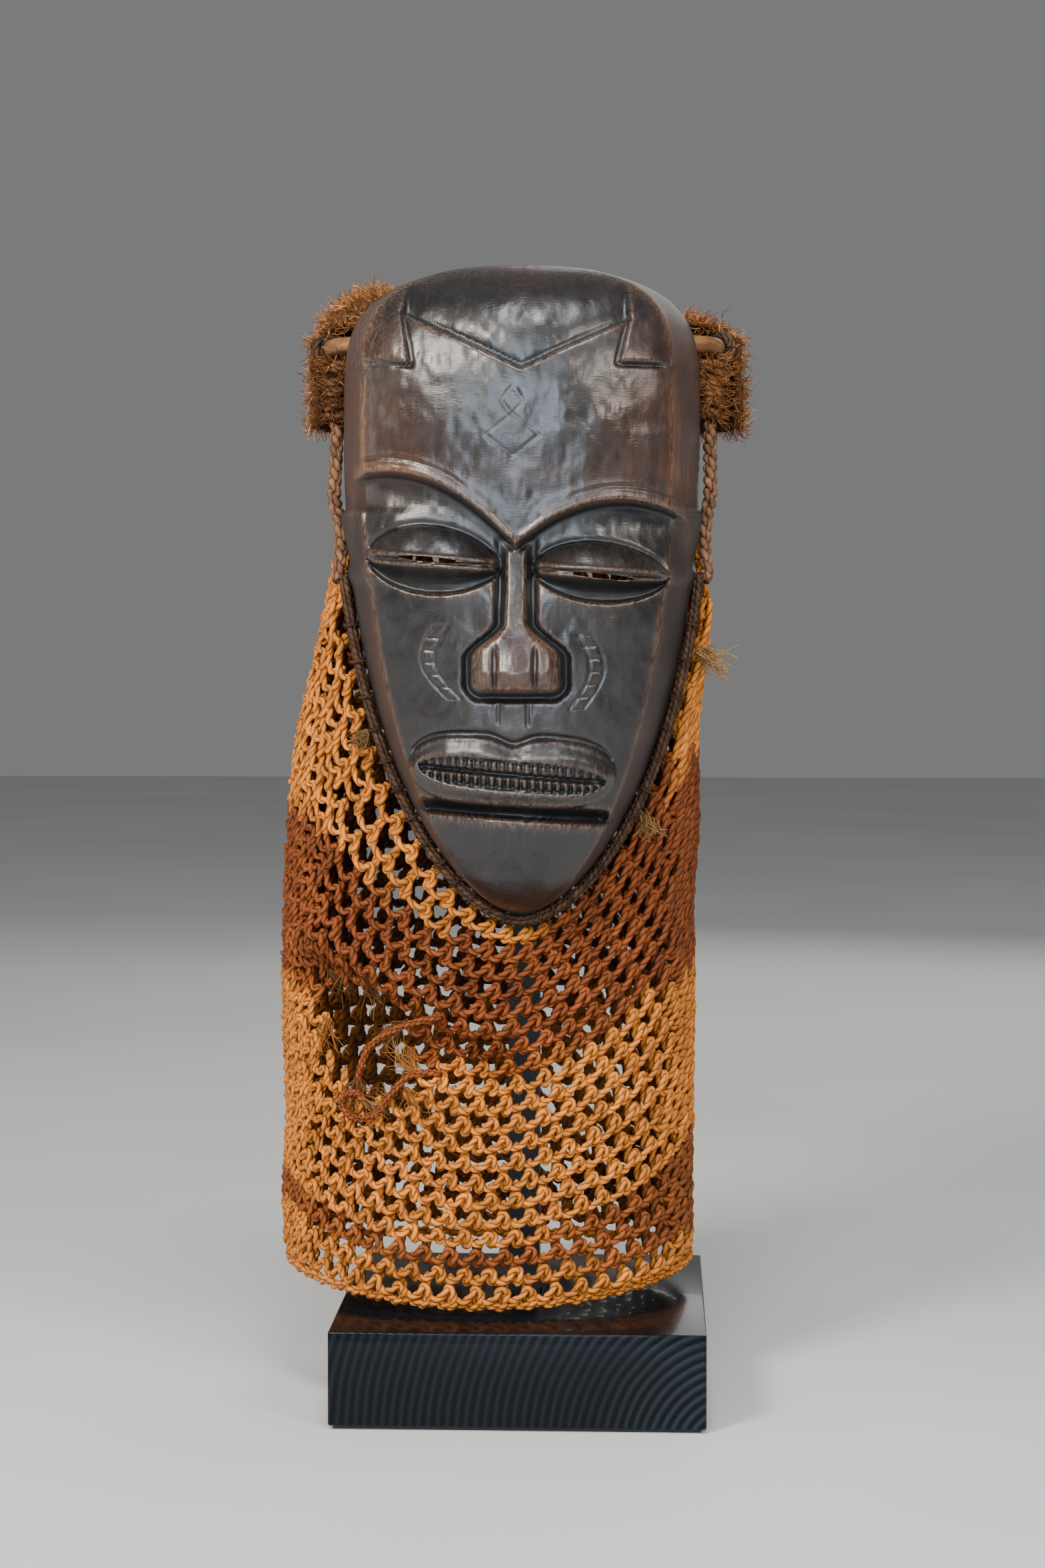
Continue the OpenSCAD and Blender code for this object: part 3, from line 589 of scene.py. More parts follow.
def cut_eyes(u, v, w):
    """Each lid rises to a proud slit; below it the lower lid falls back to the cheek's edge."""
    s, a = slanted(u, v), np.abs(u)
    across = np.clip(np.abs(a - 32.5) / 26.5, 0, 1)
    inside = across < 1
    span = (1 - across**2) ** 0.6 + 0.02
    rise, fall = (s - SLIT_AT) / (13.2 * span), (SLIT_AT - s) / (12.2 * span)
    upper, lower = inside & (s > SLIT_AT), inside & (s <= SLIT_AT)
    lid = np.clip(1 - np.clip(rise, 0, 1) ** 1.6, 0, 1)
    w = w + upper * 7.0 * span * lid
    w = w - upper * 1.3 * bell((rise - 1.0) * 13 * span, 1.1)
    sunk = np.clip(fall, 0, 1.2)
    hollow = 5.4 * ease(0.15, 0.70, sunk) * (1 - ease(0.86, 1.02, sunk))
    w = w + lower * (7.0 * span * np.clip(1 - sunk * 2.2, 0, 1) - hollow)
    lips = bell(np.abs(s - SLIT_AT) - 1.7, 0.75) * (1 - ease(0.95, 1.12, np.abs(a - 32.5) / 26.5))
    w = w + 1.3 * lips
    return w - 2.6 * bell(s - SLIT_AT, 0.7) * (1 - ease(0.80, 1.0, across))


def cut_nose(u, v, w):
    """A narrow bridge that opens out to a rounded tip and two wings, inside a deep groove."""
    a = np.abs(u)
    half = 5.2 + 12.6 * ease(-12.5, -27.0, v)
    near_side, near_foot = np.clip(4.5 - (half - a), 0, None), np.clip(4.5 - (v + 40.6), 0, None)
    corner = (near_side > 0) & (near_foot > 0)
    inside = np.where(corner, 4.5 - np.hypot(near_side, near_foot), np.minimum(half - a, v + 40.6))
    inside = np.minimum(inside, 17.0 - v)
    ridge = np.interp(v, [-42, -38, -32, -22, -12, 16], [60.5, 63.0, 63.4, 60.5, 56.5, 47.0])
    wide = ease(-19, -27, v)
    shape = ridge - 3.6 * (a / 18) ** 2 * wide - 3.8 * (1 - np.clip(inside / (0.55 * half), 0, 1)) ** 2
    shape = shape - wide * (2.3 * bell(a - 7.7, 0.95) - 1.0 * bell(a - 12.6, 3.6) - 0.9 * bell(u, 4.5))
    raised = np.maximum(shape, w + 0.8)
    w = w - 3.2 * bell(inside + 1.4, 1.4) * (1 - 0.6 * ease(8, 16, v))
    return mix(w, raised, ease(-0.5, 1.5, inside))


def cut_mouth(u, v, w, tooth):
    """Lips like a blunt box, parted on two rows of filed teeth, above a deep groove and the chin's ledge."""
    x, y = u + 2.2, v + 0.045 * u + 71.5
    wide = np.clip(np.abs(x) / 40.5, 0, 1)
    top = 13.8 * (1 - wide**4.5) ** 0.5 - 3.2 * bell(x - 1, 6)
    foot = 13.6 * (1 - wide**3.6) ** 0.5
    lip = np.minimum(top - y, y + foot) * (wide < 1) - 20 * (wide >= 1)
    w = w + 2.0 * ease(-0.5, 1.0, lip) + 3.4 * ease(0.5, 7.5, lip)
    w = w - 1.3 * bell(top - y + 1.2, 1.1) * (wide < 0.97)
    bite = v + 0.088 * u + 72.2
    open_ = (1 - np.clip(np.abs(x) / 36.5, 0, 1) ** 4) ** 0.5
    inner = np.minimum(5.6 * open_ - bite, bite + 6.4 * open_)
    w = w - 4.2 * ease(-0.2, 1.0, inner) * (open_ > 0)
    up, down = np.clip(bite, 0, 9), np.clip(-bite, 0, 9)
    round_teeth = np.abs(np.cos(np.pi * x / tooth)) ** 0.5 * ease(0.7, 1.5, up) * (1 - ease(3.9, 5.0, up))
    spikes = np.clip(1.25 * np.abs(np.cos(np.pi * (x / tooth + 0.31))) - down / 9.5 + 0.05, 0, 1) ** 0.7
    spikes = spikes * ease(0.6, 1.4, down) * (1 - ease(4.4, 5.8, down))
    w = w + 2.9 * np.maximum(round_teeth, spikes) * ease(0.0, 0.8, inner)
    w = w - 2.4 * bell(bite, 0.6) * (1 - ease(30, 34, np.abs(x)))
    s = v + 0.065 * u
    reach = 1 - ease(33, 40, np.abs(x))
    w = w - 9.5 * ease(-83.4, -87.6, s) * (1 - ease(-89.2, -90.1, s)) * reach
    return w + 2.2 * ease(-89.4, -90.4, s) * (1 - ease(-92, -112, s)) * reach


def cut_marks(u, v, w):
    """Shallow marks: rungs on the cheeks, lozenges on the forehead, short strokes below the nose and on the chin."""
    for sign, start, foot, shift, drift, bow in ((-1, -14, -42.5, -29, 5, 8), (1, -17, -46.5, 26, -3, 6.5)):
        long = start - foot
        q = (start - v) / long
        middle = shift + drift * q + sign * bow * np.sin(np.pi * np.clip(q, 0, 1))
        on = ease(-0.02, 0.02, q) * (1 - ease(0.98, 1.02, q))
        rails = bell(np.abs(u - middle) - 2.7, 0.5)
        rungs = bell((q * 6 - np.round(q * 6)) * long / 6, 0.5) * (1 - ease(2.3, 2.9, np.abs(u - middle)))
        w = w - 0.8 * on * np.maximum(rails, rungs)
    for v0, half_u, half_v in ((72, 4.4, 5.4), (58.8, 10.3, 8.0)):
        lozenge = (np.abs(u + 1) / half_u + np.abs(v - v0) / half_v - 1) * min(half_u, half_v)
        w = w - 0.55 * bell(lozenge, 0.5)
    for u0, low, high in ((-7.0, -52, -44), (4.4, -53, -44), (-5, -103, -93), (1.5, -107, -93)):
        w = w - 0.7 * bell(u - u0, 0.5) * ease(low - 1, low + 1, v) * (1 - ease(high - 1, high + 1, v))
    return w


def carved_depth(u, v, size):
    plain = plain_form(u, v, size, turn=0.845, soft=0.008)
    w = cut_hairline(u, v, plain)
    w = cut_brow(u, v, w)
    w = cut_eyes(u, v, w)
    w = cut_nose(u, v, w)
    w = cut_mouth(u, v, w, size.tooth / MM)
    w = cut_marks(u, v, w)
    facets = 0.55 * uneven(u / 9 + 20, v / 13 + 20, size.seed)
    facets = facets + 0.22 * uneven(u / 3.4 + 9, v / 4.6 + 9, size.seed + 1)
    facets = facets + 0.07 * uneven(u / 1.1 + 9, v / 2.2 + 9, size.seed + 2)
    return mix(plain, w + facets, ease(0, 9, plain))


def on_disc(cells_across, cells_up, size):
    """A square grid spread over the mask's outline, as (u, v) in millimetres."""
    b, a = np.meshgrid(np.linspace(-1, 1, cells_up + 1), np.linspace(-1, 1, cells_across + 1), indexing="ij")
    p, q = a * np.sqrt(1 - b * b / 2), b * np.sqrt(1 - a * a / 2)
    v = q * size.height / MM / 2
    u = np.clip(p / np.sqrt(np.maximum(1e-6, 1 - q * q)), -1, 1) * half_width(v, size)
    return u, v


def in_frame(u, v, w):
    """Mask millimetres to the row frame in metres."""
    middle = (MASK_LOW.z + MASK_HIGH.z) / 2
    return np.stack([u * MM, MASK_HIGH.y - w * MM, middle + v * MM], -1)


def soften(field, times):
    for _ in range(times):
        field = np.pad(field, 1, mode="edge")
        field = (field[:-2, 1:-1] + field[2:, 1:-1] + field[1:-1, :-2] + field[1:-1, 2:] + 2 * field[1:-1, 1:-1]) / 6
    return field


def wear(u, v, w, size):
    """The patina's tones: red is how brown the wood is, green how bright its edges are, blue how matt it is."""
    proud = w - soften(w, 60)
    fine = w - soften(w, 8)
    edge = np.abs(u) / np.maximum(half_width(v, size), 1)
    brown = 0.10 + 0.07 * np.clip(proud, -3, 3) + 0.20 * ease(0.80, 0.87, edge)
    brown = brown + 0.34 * bell(v - 66, 30) * ease(16, 50, np.abs(u)) + 0.22 * bell(v - 44, 9)
    brown = brown + 0.34 * bell(np.hypot(u, (v + 28) * 0.8), 17) + 0.14 * bell(v - 98, 9) * ease(38, 48, np.abs(u))
    brown = brown - 0.16 * bell(v + 105, 22) * (edge < 0.8)
    bright = np.clip(fine * 1.1, 0, 1) * 0.55 + 0.22 * ease(0.5, 2.5, proud)
    bright = bright + 0.55 * bell(np.hypot(u + 60, (v - 98) / 2.6), 8)
    matt = np.clip(ease(0.835, 0.87, edge) + ease(-0.8, -3.5, proud) * 0.7, 0, 1)
    return np.stack([np.clip(brown, 0, 1), np.clip(bright, 0, 1), matt], -1)


def flat_edges(w):
    """Brings the depth to nothing round the outline, where the front and the hollow meet the rim."""
    w[0], w[-1], w[:, 0], w[:, -1] = 0, 0, 0, 0
    return w


def shaped_grid(name, places, tones):
    """A flat grid with its points drawn out to their places and its tones laid on."""
    rows, columns = places.shape[:2]
    deselect()
    bpy.ops.mesh.primitive_grid_add(x_subdivisions=columns - 1, y_subdivisions=rows - 1, size=1, calc_uvs=False)
    piece = bpy.context.object
    piece.name = name
    piece.data.vertices.foreach_set("co", places.astype(np.float32).ravel())
    layer = piece.data.color_attributes.new("dye", "FLOAT_COLOR", "POINT")
    tones = np.concatenate([tones, np.ones((rows, columns, 1))], -1)
    layer.data.foreach_set("color", tones.astype(np.float32).ravel())
    return piece


APART = 0.05


def carve_mask(name, size):
    """The carved front and the hollow back, bridged round the rim while they stand apart."""
    u, v = on_disc(size.cells_across, size.cells_up, size)
    w = flat_edges(carved_depth(u, v, size))
    front = shaped_grid(name, in_frame(u, v, w), wear(u, v, w, size))
    u, v = on_disc(size.cells_across // 2, size.cells_up // 2, size)
    wall, half = size.wall / MM, size.height / MM / 2
    share = np.maximum(0.2, 1 - wall / np.maximum(half_width(v, size), wall + 1))
    hollow = plain_form(u, v, size) * (size.depth - size.behind) / size.depth
    hollow = hollow + 0.5 * uneven(u / 11 + 30, v / 7 + 30, size.seed + 2) * ease(0, 8, hollow)
    raw = np.broadcast_to([0.62, 0.0, 0.0], (*u.shape, 3))
    inside = in_frame(u * share, v * (half - wall) / half, flat_edges(hollow))
    back = shaped_grid("hollow", inside + [0, APART, 0], raw)
    first = len(front.data.vertices)
    deselect()
    front.select_set(True)
    back.select_set(True)
    bpy.context.view_layer.objects.active = front
    bpy.ops.object.join()
    bpy.ops.object.mode_set(mode="EDIT")
    bpy.ops.mesh.select_mode(type="EDGE")
    bpy.ops.mesh.select_all(action="DESELECT")
    bpy.ops.mesh.select_non_manifold()
    bpy.ops.mesh.bridge_edge_loops()
    bpy.ops.mesh.select_all(action="SELECT")
    bpy.ops.mesh.normals_make_consistent(inside=False)
    bpy.ops.mesh.select_all(action="DESELECT")
    bpy.ops.mesh.select_mode(type="VERT")
    bpy.ops.object.mode_set(mode="OBJECT")
    for point in front.data.vertices[first:]:
        point.select = True
    bpy.ops.object.mode_set(mode="EDIT")
    bpy.ops.transform.translate(value=(0, -APART, 0))
    bpy.ops.object.mode_set(mode="OBJECT")
    bpy.ops.object.shade_smooth()
    return front


def cut_eye_slits(piece, size):
    middle = (MASK_LOW.z + MASK_HIGH.z) / 2
    for side in (-1, 1):
        deselect()
        bpy.ops.mesh.primitive_uv_sphere_add(
            segments=24, ring_count=16, radius=1.0,
            location=(side * 0.0325, MASK_HIGH.y - 0.030, middle + 0.0082 - side * 0.0325 * 0.097),
            rotation=(0, math.radians(5.5), 0), scale=(0.0140, 0.060, size.slit * 0.46),
        )
        cutter = bpy.context.object
        cut = piece.modifiers.new("slit", "BOOLEAN")
        cut.operation = "DIFFERENCE"
        cut.solver = "EXACT"
        cut.object = cutter
        pick_only(piece)
        bpy.ops.object.modifier_apply(modifier=cut.name)
        bpy.data.objects.remove(cutter)


# ---- The hood's surface: t degrees round from the chin, h from 0 at the hem to 1 at the top ----

HEM_CENTRE = (HEM_LOW + HEM_HIGH) / 2
TIE_REACH = 7.0


def rim_place(t, size):
    v = -size.height / MM / 2 * np.cos(np.radians(t))
    return np.stack([np.sign(t) * plain_half_width(v, size), v], -1)


def rim_line(t, out, size, w):
    """Places that run round the rim, so far outside it and so far in front of it, in metres."""
    t = np.asarray(t, float)
    along = unit(rim_place(t + 0.5, size) - rim_place(t - 0.5, size))
    p = rim_place(np.where(t == 0, 0.01, t), size) + out * np.stack([along[..., 1], -along[..., 0]], -1)
    return in_frame(p[..., 0], p[..., 1], np.full_like(t, w))


class Hood:
    """The hood's plain surface, worked out from the frame as its solids are."""

    def __init__(self, scene):
        self.size, self.net = scene.mask_carving, scene.mask_hood
        self.out = 6.0
        self.behind = TIE_REACH - (TIE_REACH + 1.9) - 0.9 - 0.3 - self.net.wall / MM / 2

    def foot(self, t):
        wide = (HEM_HIGH.x - HEM_LOW.x - self.net.wall) / 2
        deep = (HEM_HIGH.y - HEM_LOW.y - self.net.wall) / 2
        sin, cos = np.sin(np.radians(t)), np.cos(np.radians(t))
        return np.stack([HEM_CENTRE.x + wide * sin, HEM_CENTRE.y - deep * cos, HEM_LOW.z + 0.007 * sin**2], -1)

    def top(self, t):
        t = (np.asarray(t, float) + 180) % 360 - 180
        front = rim_line(np.clip(t, -90, 90), self.out, self.size, self.behind)
        b = np.radians(np.clip(np.abs(t) - 90, 0, 90))
        end = rim_line(np.full_like(t, 90.0), self.out, self.size, self.behind)
        sin, cos = np.sin(b), np.cos(b)
        back = np.stack(
            [
                np.sign(t) * end[..., 0] * cos,
                mix(end[..., 1], HEM_CENTRE.y + 0.041, sin),
                mix(end[..., 2], CROWN_EDGE, ease(0, 1, 1.5 * sin)),
            ],
            -1,
        )
        return np.where((np.abs(t) <= 90)[..., None], front, back)

    def wall(self, t, h):
        a, b = self.foot(t), self.top(t)
        share = np.stack([h**5, h**2.5, h], -1)
        return mix(a, b, share)

    def skin(self, t, h, off):
        """A place so far out from the middle of the wall, as the frame's own strands use."""
        p = self.wall(t, h)
        centre = np.stack([HEM_CENTRE.x * (1 - h**5), HEM_CENTRE.y * (1 - h), p[..., 2]], -1)
        return p + unit(p - centre) * np.asarray(off)[..., None]

    def level(self, t, z):
        """The h of a height over the block."""
        a, b = self.foot(t)[..., 2], self.top(t)[..., 2]
        return np.clip((z + BLOCK_HIGH.z - a) / (b - a), 0.02, 0.955)

    def bands(self, t):
        """The heights where the dyed bands meet, from the hem up."""
        t = (np.asarray(t, float) + 180) % 360 - 180
        sin = np.sin(np.radians(t))
        high = np.sin(np.radians(np.minimum(90, np.abs(t)))) ** 2
        return [
            self.level(t, 0.019 + 0.013 * sin**2 - 0.006 * sin),
            self.level(t, 0.029 + 0.030 * sin**2 + 0.008 * sin),
            self.level(t, 0.100 + 0.038 * sin**2 + 0.002 * sin),
            self.level(t, 0.148 + 0.068 * high + 0.012 * sin),
        ]

    def slack(self, p):
        """How far the worn net leaves its plain surface: soft waves, and a slanting fold at the left front."""
        x, z = p[..., 0] / MM, p[..., 2] / MM
        wave = 1.6 * uneven(x / 26 + 12, z / 30 + p[..., 1] / MM / 40 + 12, self.net.seed)
        front = 1 - ease(-0.020, 0.010, p[..., 1])
        far = line_distance(x, z, [(-84, 172), (-40, 150), (-4, 134)])
        over = (z - 172) + (x + 84) * 0.475
        fold = -self.net.fold / MM * bell(far, 9)
        fold = fold + 4.5 * bell(far - 15, 8) * (over > 0) + 3 * bell(far - 14, 8) * (over < 0)
        return (wave + fold * front) * MM

    def place(self, t, h):
        """The worn surface, with the way out of it."""
        step = 0.6
        p = self.wall(t, h)
        across = self.wall(t + step, h) - self.wall(t - step, h)
        low = np.clip(h - 0.01, 0.0, 0.98)
        up = self.wall(t, low + 0.02) - self.wall(t, low)
        out = unit(np.cross(across, up))
        return p + out * self.slack(p)[..., None], out


STITCH = np.array([
    (-0.6, 0.6, -1.4), (0.8, -1.1, -0.5), (2.6, -2.0, 0.6), (4.7, -1.7, 1.1), (6.5, -0.4, 1.5), (7.5, 1.4, 1.6),
    (8.6, 2.8, 1.2), (9.9, 2.4, 0.9), (10.7, 0.8, 1.0), (10.5, -1.2, 0.9), (9.7, -2.5, -0.3), (8.6, -1.8, -1.5),
    (8.2, 0.2, -1.9), (8.5, 2.6, -1.5), (9.0, 4.0, -1.2), (9.5, 2.4, -2.1),
])
LINK_ROWS = (12, 13, 14, 15)
TEAR = (-61.0, 147.0, 18.0, 24.0)      # its middle across and up, and its reach across and up, in millimetres
CLOSE_FROM = 58.0                      # how far round from the chin the rows begin to lie closer
THICK_FROM, THICK_TO = 100, 135        # how far round the cord grows to its thickness at the back
PIECE_POINTS = 85000                   # the most points of one band's piece before the next is begun


def torn(p, rng_field):
    x, z = p[..., 0] / MM, p[..., 2] / MM
    ragged = 1 + 0.22 * uneven(x / 6 + 5, z / 6 + 5, rng_field)
    far = np.hypot((x - TEAR[0] + (z - TEAR[1]) * 0.25) / TEAR[2], (z - TEAR[1]) / TEAR[3])
    return (far < ragged) & (p[..., 1] < 0)


def dye_of(hood, t, h, colours, rng):
    """The cord's colour by the band that it lies in, with a soft, uneven edge."""
    edges = hood.bands(t)
    shift = 0.012 * uneven(t / 9 + 40, h * 14 + 40, hood.net.seed + 4) + rng.normal(0, 0.004, t.shape)
    h = h + shift
    soft = 0.012
    low = ease(edges[0] - soft, edges[0] + soft, h) * (1 - ease(edges[1] - soft, edges[1] + soft, h))
    high = ease(edges[2] - soft, edges[2] + soft, h) * (1 - ease(edges[3] - soft, edges[3] + soft, h))
    turn = (t + 180) % 360 - 180
    beside = ease(4, 14, turn) * (1 - ease(58, 70, turn)) * ease(edges[3] - soft, edges[3] + soft, h)
    russet = np.clip(low * 0.9 + high + beside, 0, 1)[..., None]
    tone = mix(np.array(colours.ochre), np.array(colours.russet), russet)
    return tone * np.exp(rng.normal(0, 0.13, t.shape))[..., None]


def net_row(hood, h_row, t_first, count, offset, spacing, rng):
    """The control points of one row of loops: (stitches, 16, 3) places, the way out and t, h at each."""
    pitch = 360 / hood.net.stitches
    k = np.arange(count)
    t0 = t_first + (k + offset) * pitch + rng.normal(0, 0.25, count)
    shape = np.broadcast_to(STITCH, (count, len(STITCH), 3)).copy()
    shape[..., 1:] *= rng.normal(1.0, 0.08, (count, 1, 1))
    shape += rng.normal(0, 0.16, shape.shape)
    rise = np.array([0, 0.55, 1.0, 0.5])
    gap = spacing(t0)
    for row, part in zip(LINK_ROWS, rise):
        shape[:, row, 1] = mix(shape[:, row, 1], gap - (0.6 if part == 1.0 else 1.6), part)
    t = t0[:, None] + shape[..., 0] / 10 * pitch
    share = 0.02
    rise_of_share = np.linalg.norm(
        hood.wall(t, np.full_like(t, h_row)) - hood.wall(t, np.full_like(t, h_row - share)), axis=-1
    )
    h = np.clip(h_row + shape[..., 1] * MM * share / rise_of_share, 0.0, 1.0)
    p, out = hood.place(t, h)
    return p + out * (shape[..., 2] * MM)[..., None], out, t, h


def loop_hood(scene):
    """All the hood's rows, shared out among its dyed bands, and the places where rows are torn."""
    hood, colours = Hood(scene), scene.mask_colours
    net = hood.net
    rng = np.random.default_rng(net.seed)
    made = {band: [Strands(6)] for band in BANDS}
    ends = []
    height = lambda t: (hood.top(t)[..., 2] - hood.foot(t)[..., 2]) / MM

    def spacing(t):
        t = (t + 180) % 360 - 180
        return height(t) / net.rows * np.where(np.abs(t) > CLOSE_FROM, 0.5, 1.0)

    rows = [((r + 0.5) / net.rows, -180.0, net.stitches, 0.5 * (r % 2), True) for r in range(net.rows)]
    pitch = 360 / net.stitches
    for r in range(net.rows):
        start = CLOSE_FROM + rng.uniform(-4, 6)
        rows.append((max(r, 0.10) / net.rows, start, int((360 - 2 * start) / pitch), 0.25 + 0.5 * (r % 2), False))
    for h_row, first, count, offset, whole in rows:
        p, out, t, h = net_row(hood, h_row, first, count, offset, spacing, rng)
        middle_t, middle_h = t[:, 5], h[:, 5]
        edges = np.array(hood.bands(middle_t))
        band = (middle_h[None] > edges).sum(0)
        gone = torn(p[:, 5], net.seed)
        tones = dye_of(hood, middle_t, middle_h, colours, rng)
        flat = lambda a: a.reshape(-1, a.shape[-1])
        if whole:
            p, out = (np.concatenate([a, a[:1]]) for a in (p, out))
        k = 0
        while k < count:
            if gone[k]:
                k += 1
                continue
            last = k
            while last + 1 < count and band[last + 1] == band[k] and not gone[last + 1]:
                last += 1
            torn_next = last + 1 < count and gone[last + 1]
            stop = (last + 1) * len(STITCH) + (1 if last + 1 < len(p) and not torn_next else 0)
            line = smooth_line(flat(p)[k * len(STITCH) : stop], 3)
            way = smooth_line(flat(out)[k * len(STITCH) : stop], 3)
            shade = np.repeat(tones[k : last + 1], len(STITCH) * 3, axis=0)
            shade = np.vstack([shade, np.repeat(shade[-1:], max(0, len(line) - len(shade)), axis=0)])[: len(line)]
            turn = np.abs(np.repeat((t[k : last + 1] + 180) % 360 - 180, 3, axis=1).ravel())
            turn = np.append(turn, np.full(max(0, len(line) - len(turn)), turn[-1]))[: len(line)]
            radius = net.cord / 2 * (1 + 0.07 * rng.normal(size=len(line)).cumsum().clip(-2, 2) * 0.4)
            radius = radius * (1 + 0.42 * ease(THICK_FROM, THICK_TO, turn))
            if made[BANDS[band[k]]][-1].count > PIECE_POINTS:
                made[BANDS[band[k]]].append(Strands(6))
            # inner=0.22 paints the inner side of each looped cord dark, as painted shade
            made[BANDS[band[k]]][-1].sweep(line, way, radius, shade, start=rng.uniform(0, 4), plies=0.2, inner=0.22)
            if torn_next:
                ends.append((line[-1], unit(line[-1] - line[-4]), shade[-1], out[last, 8]))
            if k > 0 and gone[k - 1]:
                ends.append((line[0], unit(line[0] - line[3]), shade[0], out[k, 0]))
            k = last + 1
    around = np.linspace(91, 269, 300)
    edge, out = hood.place(around, np.full(300, 0.993))
    shade = np.array(colours.ochre) * np.exp(rng.normal(0, 0.15, (300, 1)))
    twisted(made[BANDS[-1]][-1], edge, out, net.cord * 1.35, shade, 0.0080)
    return hood, made, ends


# ---- Cords that hang free: their routes stay the frame's ----

LOOSE_ROUTE = [(-11, 97, 0), (-15.5, 97, 0), (-19.5, 95.5, 0.3), (-22.4, 91, 1), (-24.6, 86, 1.4), (-27, 81.5, 1.4),
               (-30, 78.5, 1), (-33.5, 77.5, 1), (-37, 79, 1.2), (-38.8, 83, 1.6), (-37, 87, 2), (-33.6, 88, 2.4),
               (-31, 85.5, 2.6)]
FRAYED_ROUTE = [(-13, 119, 0), (-18, 117.5, 0), (-23, 115, 0.2), (-27, 112, 0.4), (-30.5, 108, 0.4),
                (-32.8, 103, 0.2), (-34, 98, 0), (-35, 93, -0.3)]
STRAND_WIDTH = 0.0026
BLOND = (0.80, 0.44, 0.15)
EDGE_TUFTS = ((82.0, 0.015), (49.0, 0.012), (-66.0, 0.008))     # how far round from the chin, and the fibres' length


def strand_line(hood, route):
    """A free strand's centreline: turn round the hood, height over the block and way out, as the frame has it."""
    t, z, off = np.array(route, float).T
    near = hood.net.wall / 2 + STRAND_WIDTH / 2 + 0.0005
    return hood.skin(t, hood.level(t, z * MM), near + off * MM)


def free_strand(scene, name, route, tuft, seed):
    hood = Hood(scene)
    rng = np.random.default_rng(seed)
    points = strand_line(hood, route)
    line = smooth_line(points, 10)
    strands = Strands(8)
    tone = np.array(scene.mask_colours.russet) * 1.15
    out = unit(line - np.array([HEM_CENTRE.x, HEM_CENTRE.y, 0]) * [1, 1, 0] - line * [0, 0, 1])
    twisted(strands, line, out, STRAND_WIDTH * 1.2, tone, 0.0052)
    piece = strands.piece(name + "_twist")
    seat(piece, "mask_unit", "russet_cord", finish("russet_cord"), name)
    end_way = unit(line[-1] - line[-5])
    frays = Strands(3)
    roots = line[-1] + rng.normal(0, 0.0006, (tuft, 3))
    ways = unit(end_way + rng.normal(0, 0.30, (tuft, 3)))
    curly_fibres(frays, roots, ways, rng.uniform(0.006, 0.014, tuft), 0.0006,
                 mix(tone, np.array(BLOND), rng.uniform(0.0, 0.55, (tuft, 1))), rng)
    fray = frays.piece(name + "_tuft")
    return seat(fray, "mask_unit", "russet_cord", finish("russet_cord"))


# ---- Operators: one for each piece or group of like pieces ----

STUDIO = (     # name, place, side, watts, tint
    ("front", (-0.08, -1.60, 0.58), 0.85, 20, (0.74, 0.86, 1.0)),
    ("key", (-0.70, -1.05, 1.15), 0.34, 24, (1.0, 0.94, 0.84)),
    ("right", (0.95, -1.10, 0.95), 0.34, 10, (1.0, 0.92, 0.82)),
    ("left", (-1.25, -0.30, 0.45), 0.40, 2, (1.0, 0.95, 0.88)),
    ("top", (0.1, -0.60, 1.55), 0.40, 12, (0.92, 0.96, 1.0)),
    ("back", (0.35, 1.50, 0.80), 0.80, 5, (1.0, 0.98, 0.95)),
)
LIT_TOWARDS = Vector((0, 0, 0.24))
CAMERA_PLACE = (0.0527, -1.228, 0.3177)
CAMERA_YAW, CAMERA_DIP = math.radians(2.5), math.radians(1.6)


class MASK_OT_stage(bpy.types.Operator):
    """Add the floor, the lights and the camera."""

    bl_idname = "mask.stage"
    bl_label = "Stage"

    def execute(self, context):
        scene = context.scene
        bpy.ops.mesh.primitive_plane_add(size=7.0, location=(0, 1.2, 0))
        floor = context.object
        floor.name = "floor"
        f = Finish("pale_floor", 0.85)
        floor.data.materials.append(f.done(Base_Color=f.ramp(f.noise(3, 2), (0.3, 0.60), (0.7, 0.66))))
        world = scene.world or bpy.data.worlds.new("studio")
        scene.world = world
        world.use_nodes = True
        world.node_tree.nodes["Background"].inputs["Color"].default_value = (0.90, 0.90, 0.91, 1)
        world.node_tree.nodes["Background"].inputs["Strength"].default_value = 0.22
        for name, place, side, power, tint in STUDIO:
            lamp = bpy.data.lights.new(name, "AREA")
            lamp.size, lamp.energy, lamp.color = side, power, tint
            holder = bpy.data.objects.new(name, lamp)
            scene.collection.objects.link(holder)
            holder.location = place
            holder.rotation_euler = (LIT_TOWARDS - Vector(place)).to_track_quat("-Z", "Y").to_euler()
        camera = bpy.data.objects.new("camera", bpy.data.cameras.new("camera"))
        scene.collection.objects.link(camera)
        camera.data.lens = 68.5
        camera.data.sensor_width = 36.0
        camera.data.clip_start = 0.05
        camera.data.shift_y = -0.0531
        camera.location = CAMERA_PLACE
        level = math.cos(CAMERA_DIP)
        look = Vector((-math.sin(CAMERA_YAW) * level, math.cos(CAMERA_YAW) * level, -math.sin(CAMERA_DIP)))
        camera.rotation_euler = look.to_track_quat("-Z", "Y").to_euler()
        scene.camera = camera
        return {"FINISHED"}


class MASK_OT_free_strands(bpy.types.Operator):
    """Add the two broken strands that hang free in the torn place."""

    bl_idname = "mask.free_strands"
    bl_label = "Free strands"

    def execute(self, context):
        free_strand(context.scene, "loose_strand", LOOSE_ROUTE, 14, 21)
        free_strand(context.scene, "frayed_strand", FRAYED_ROUTE, 46, 22)
        return {"FINISHED"}


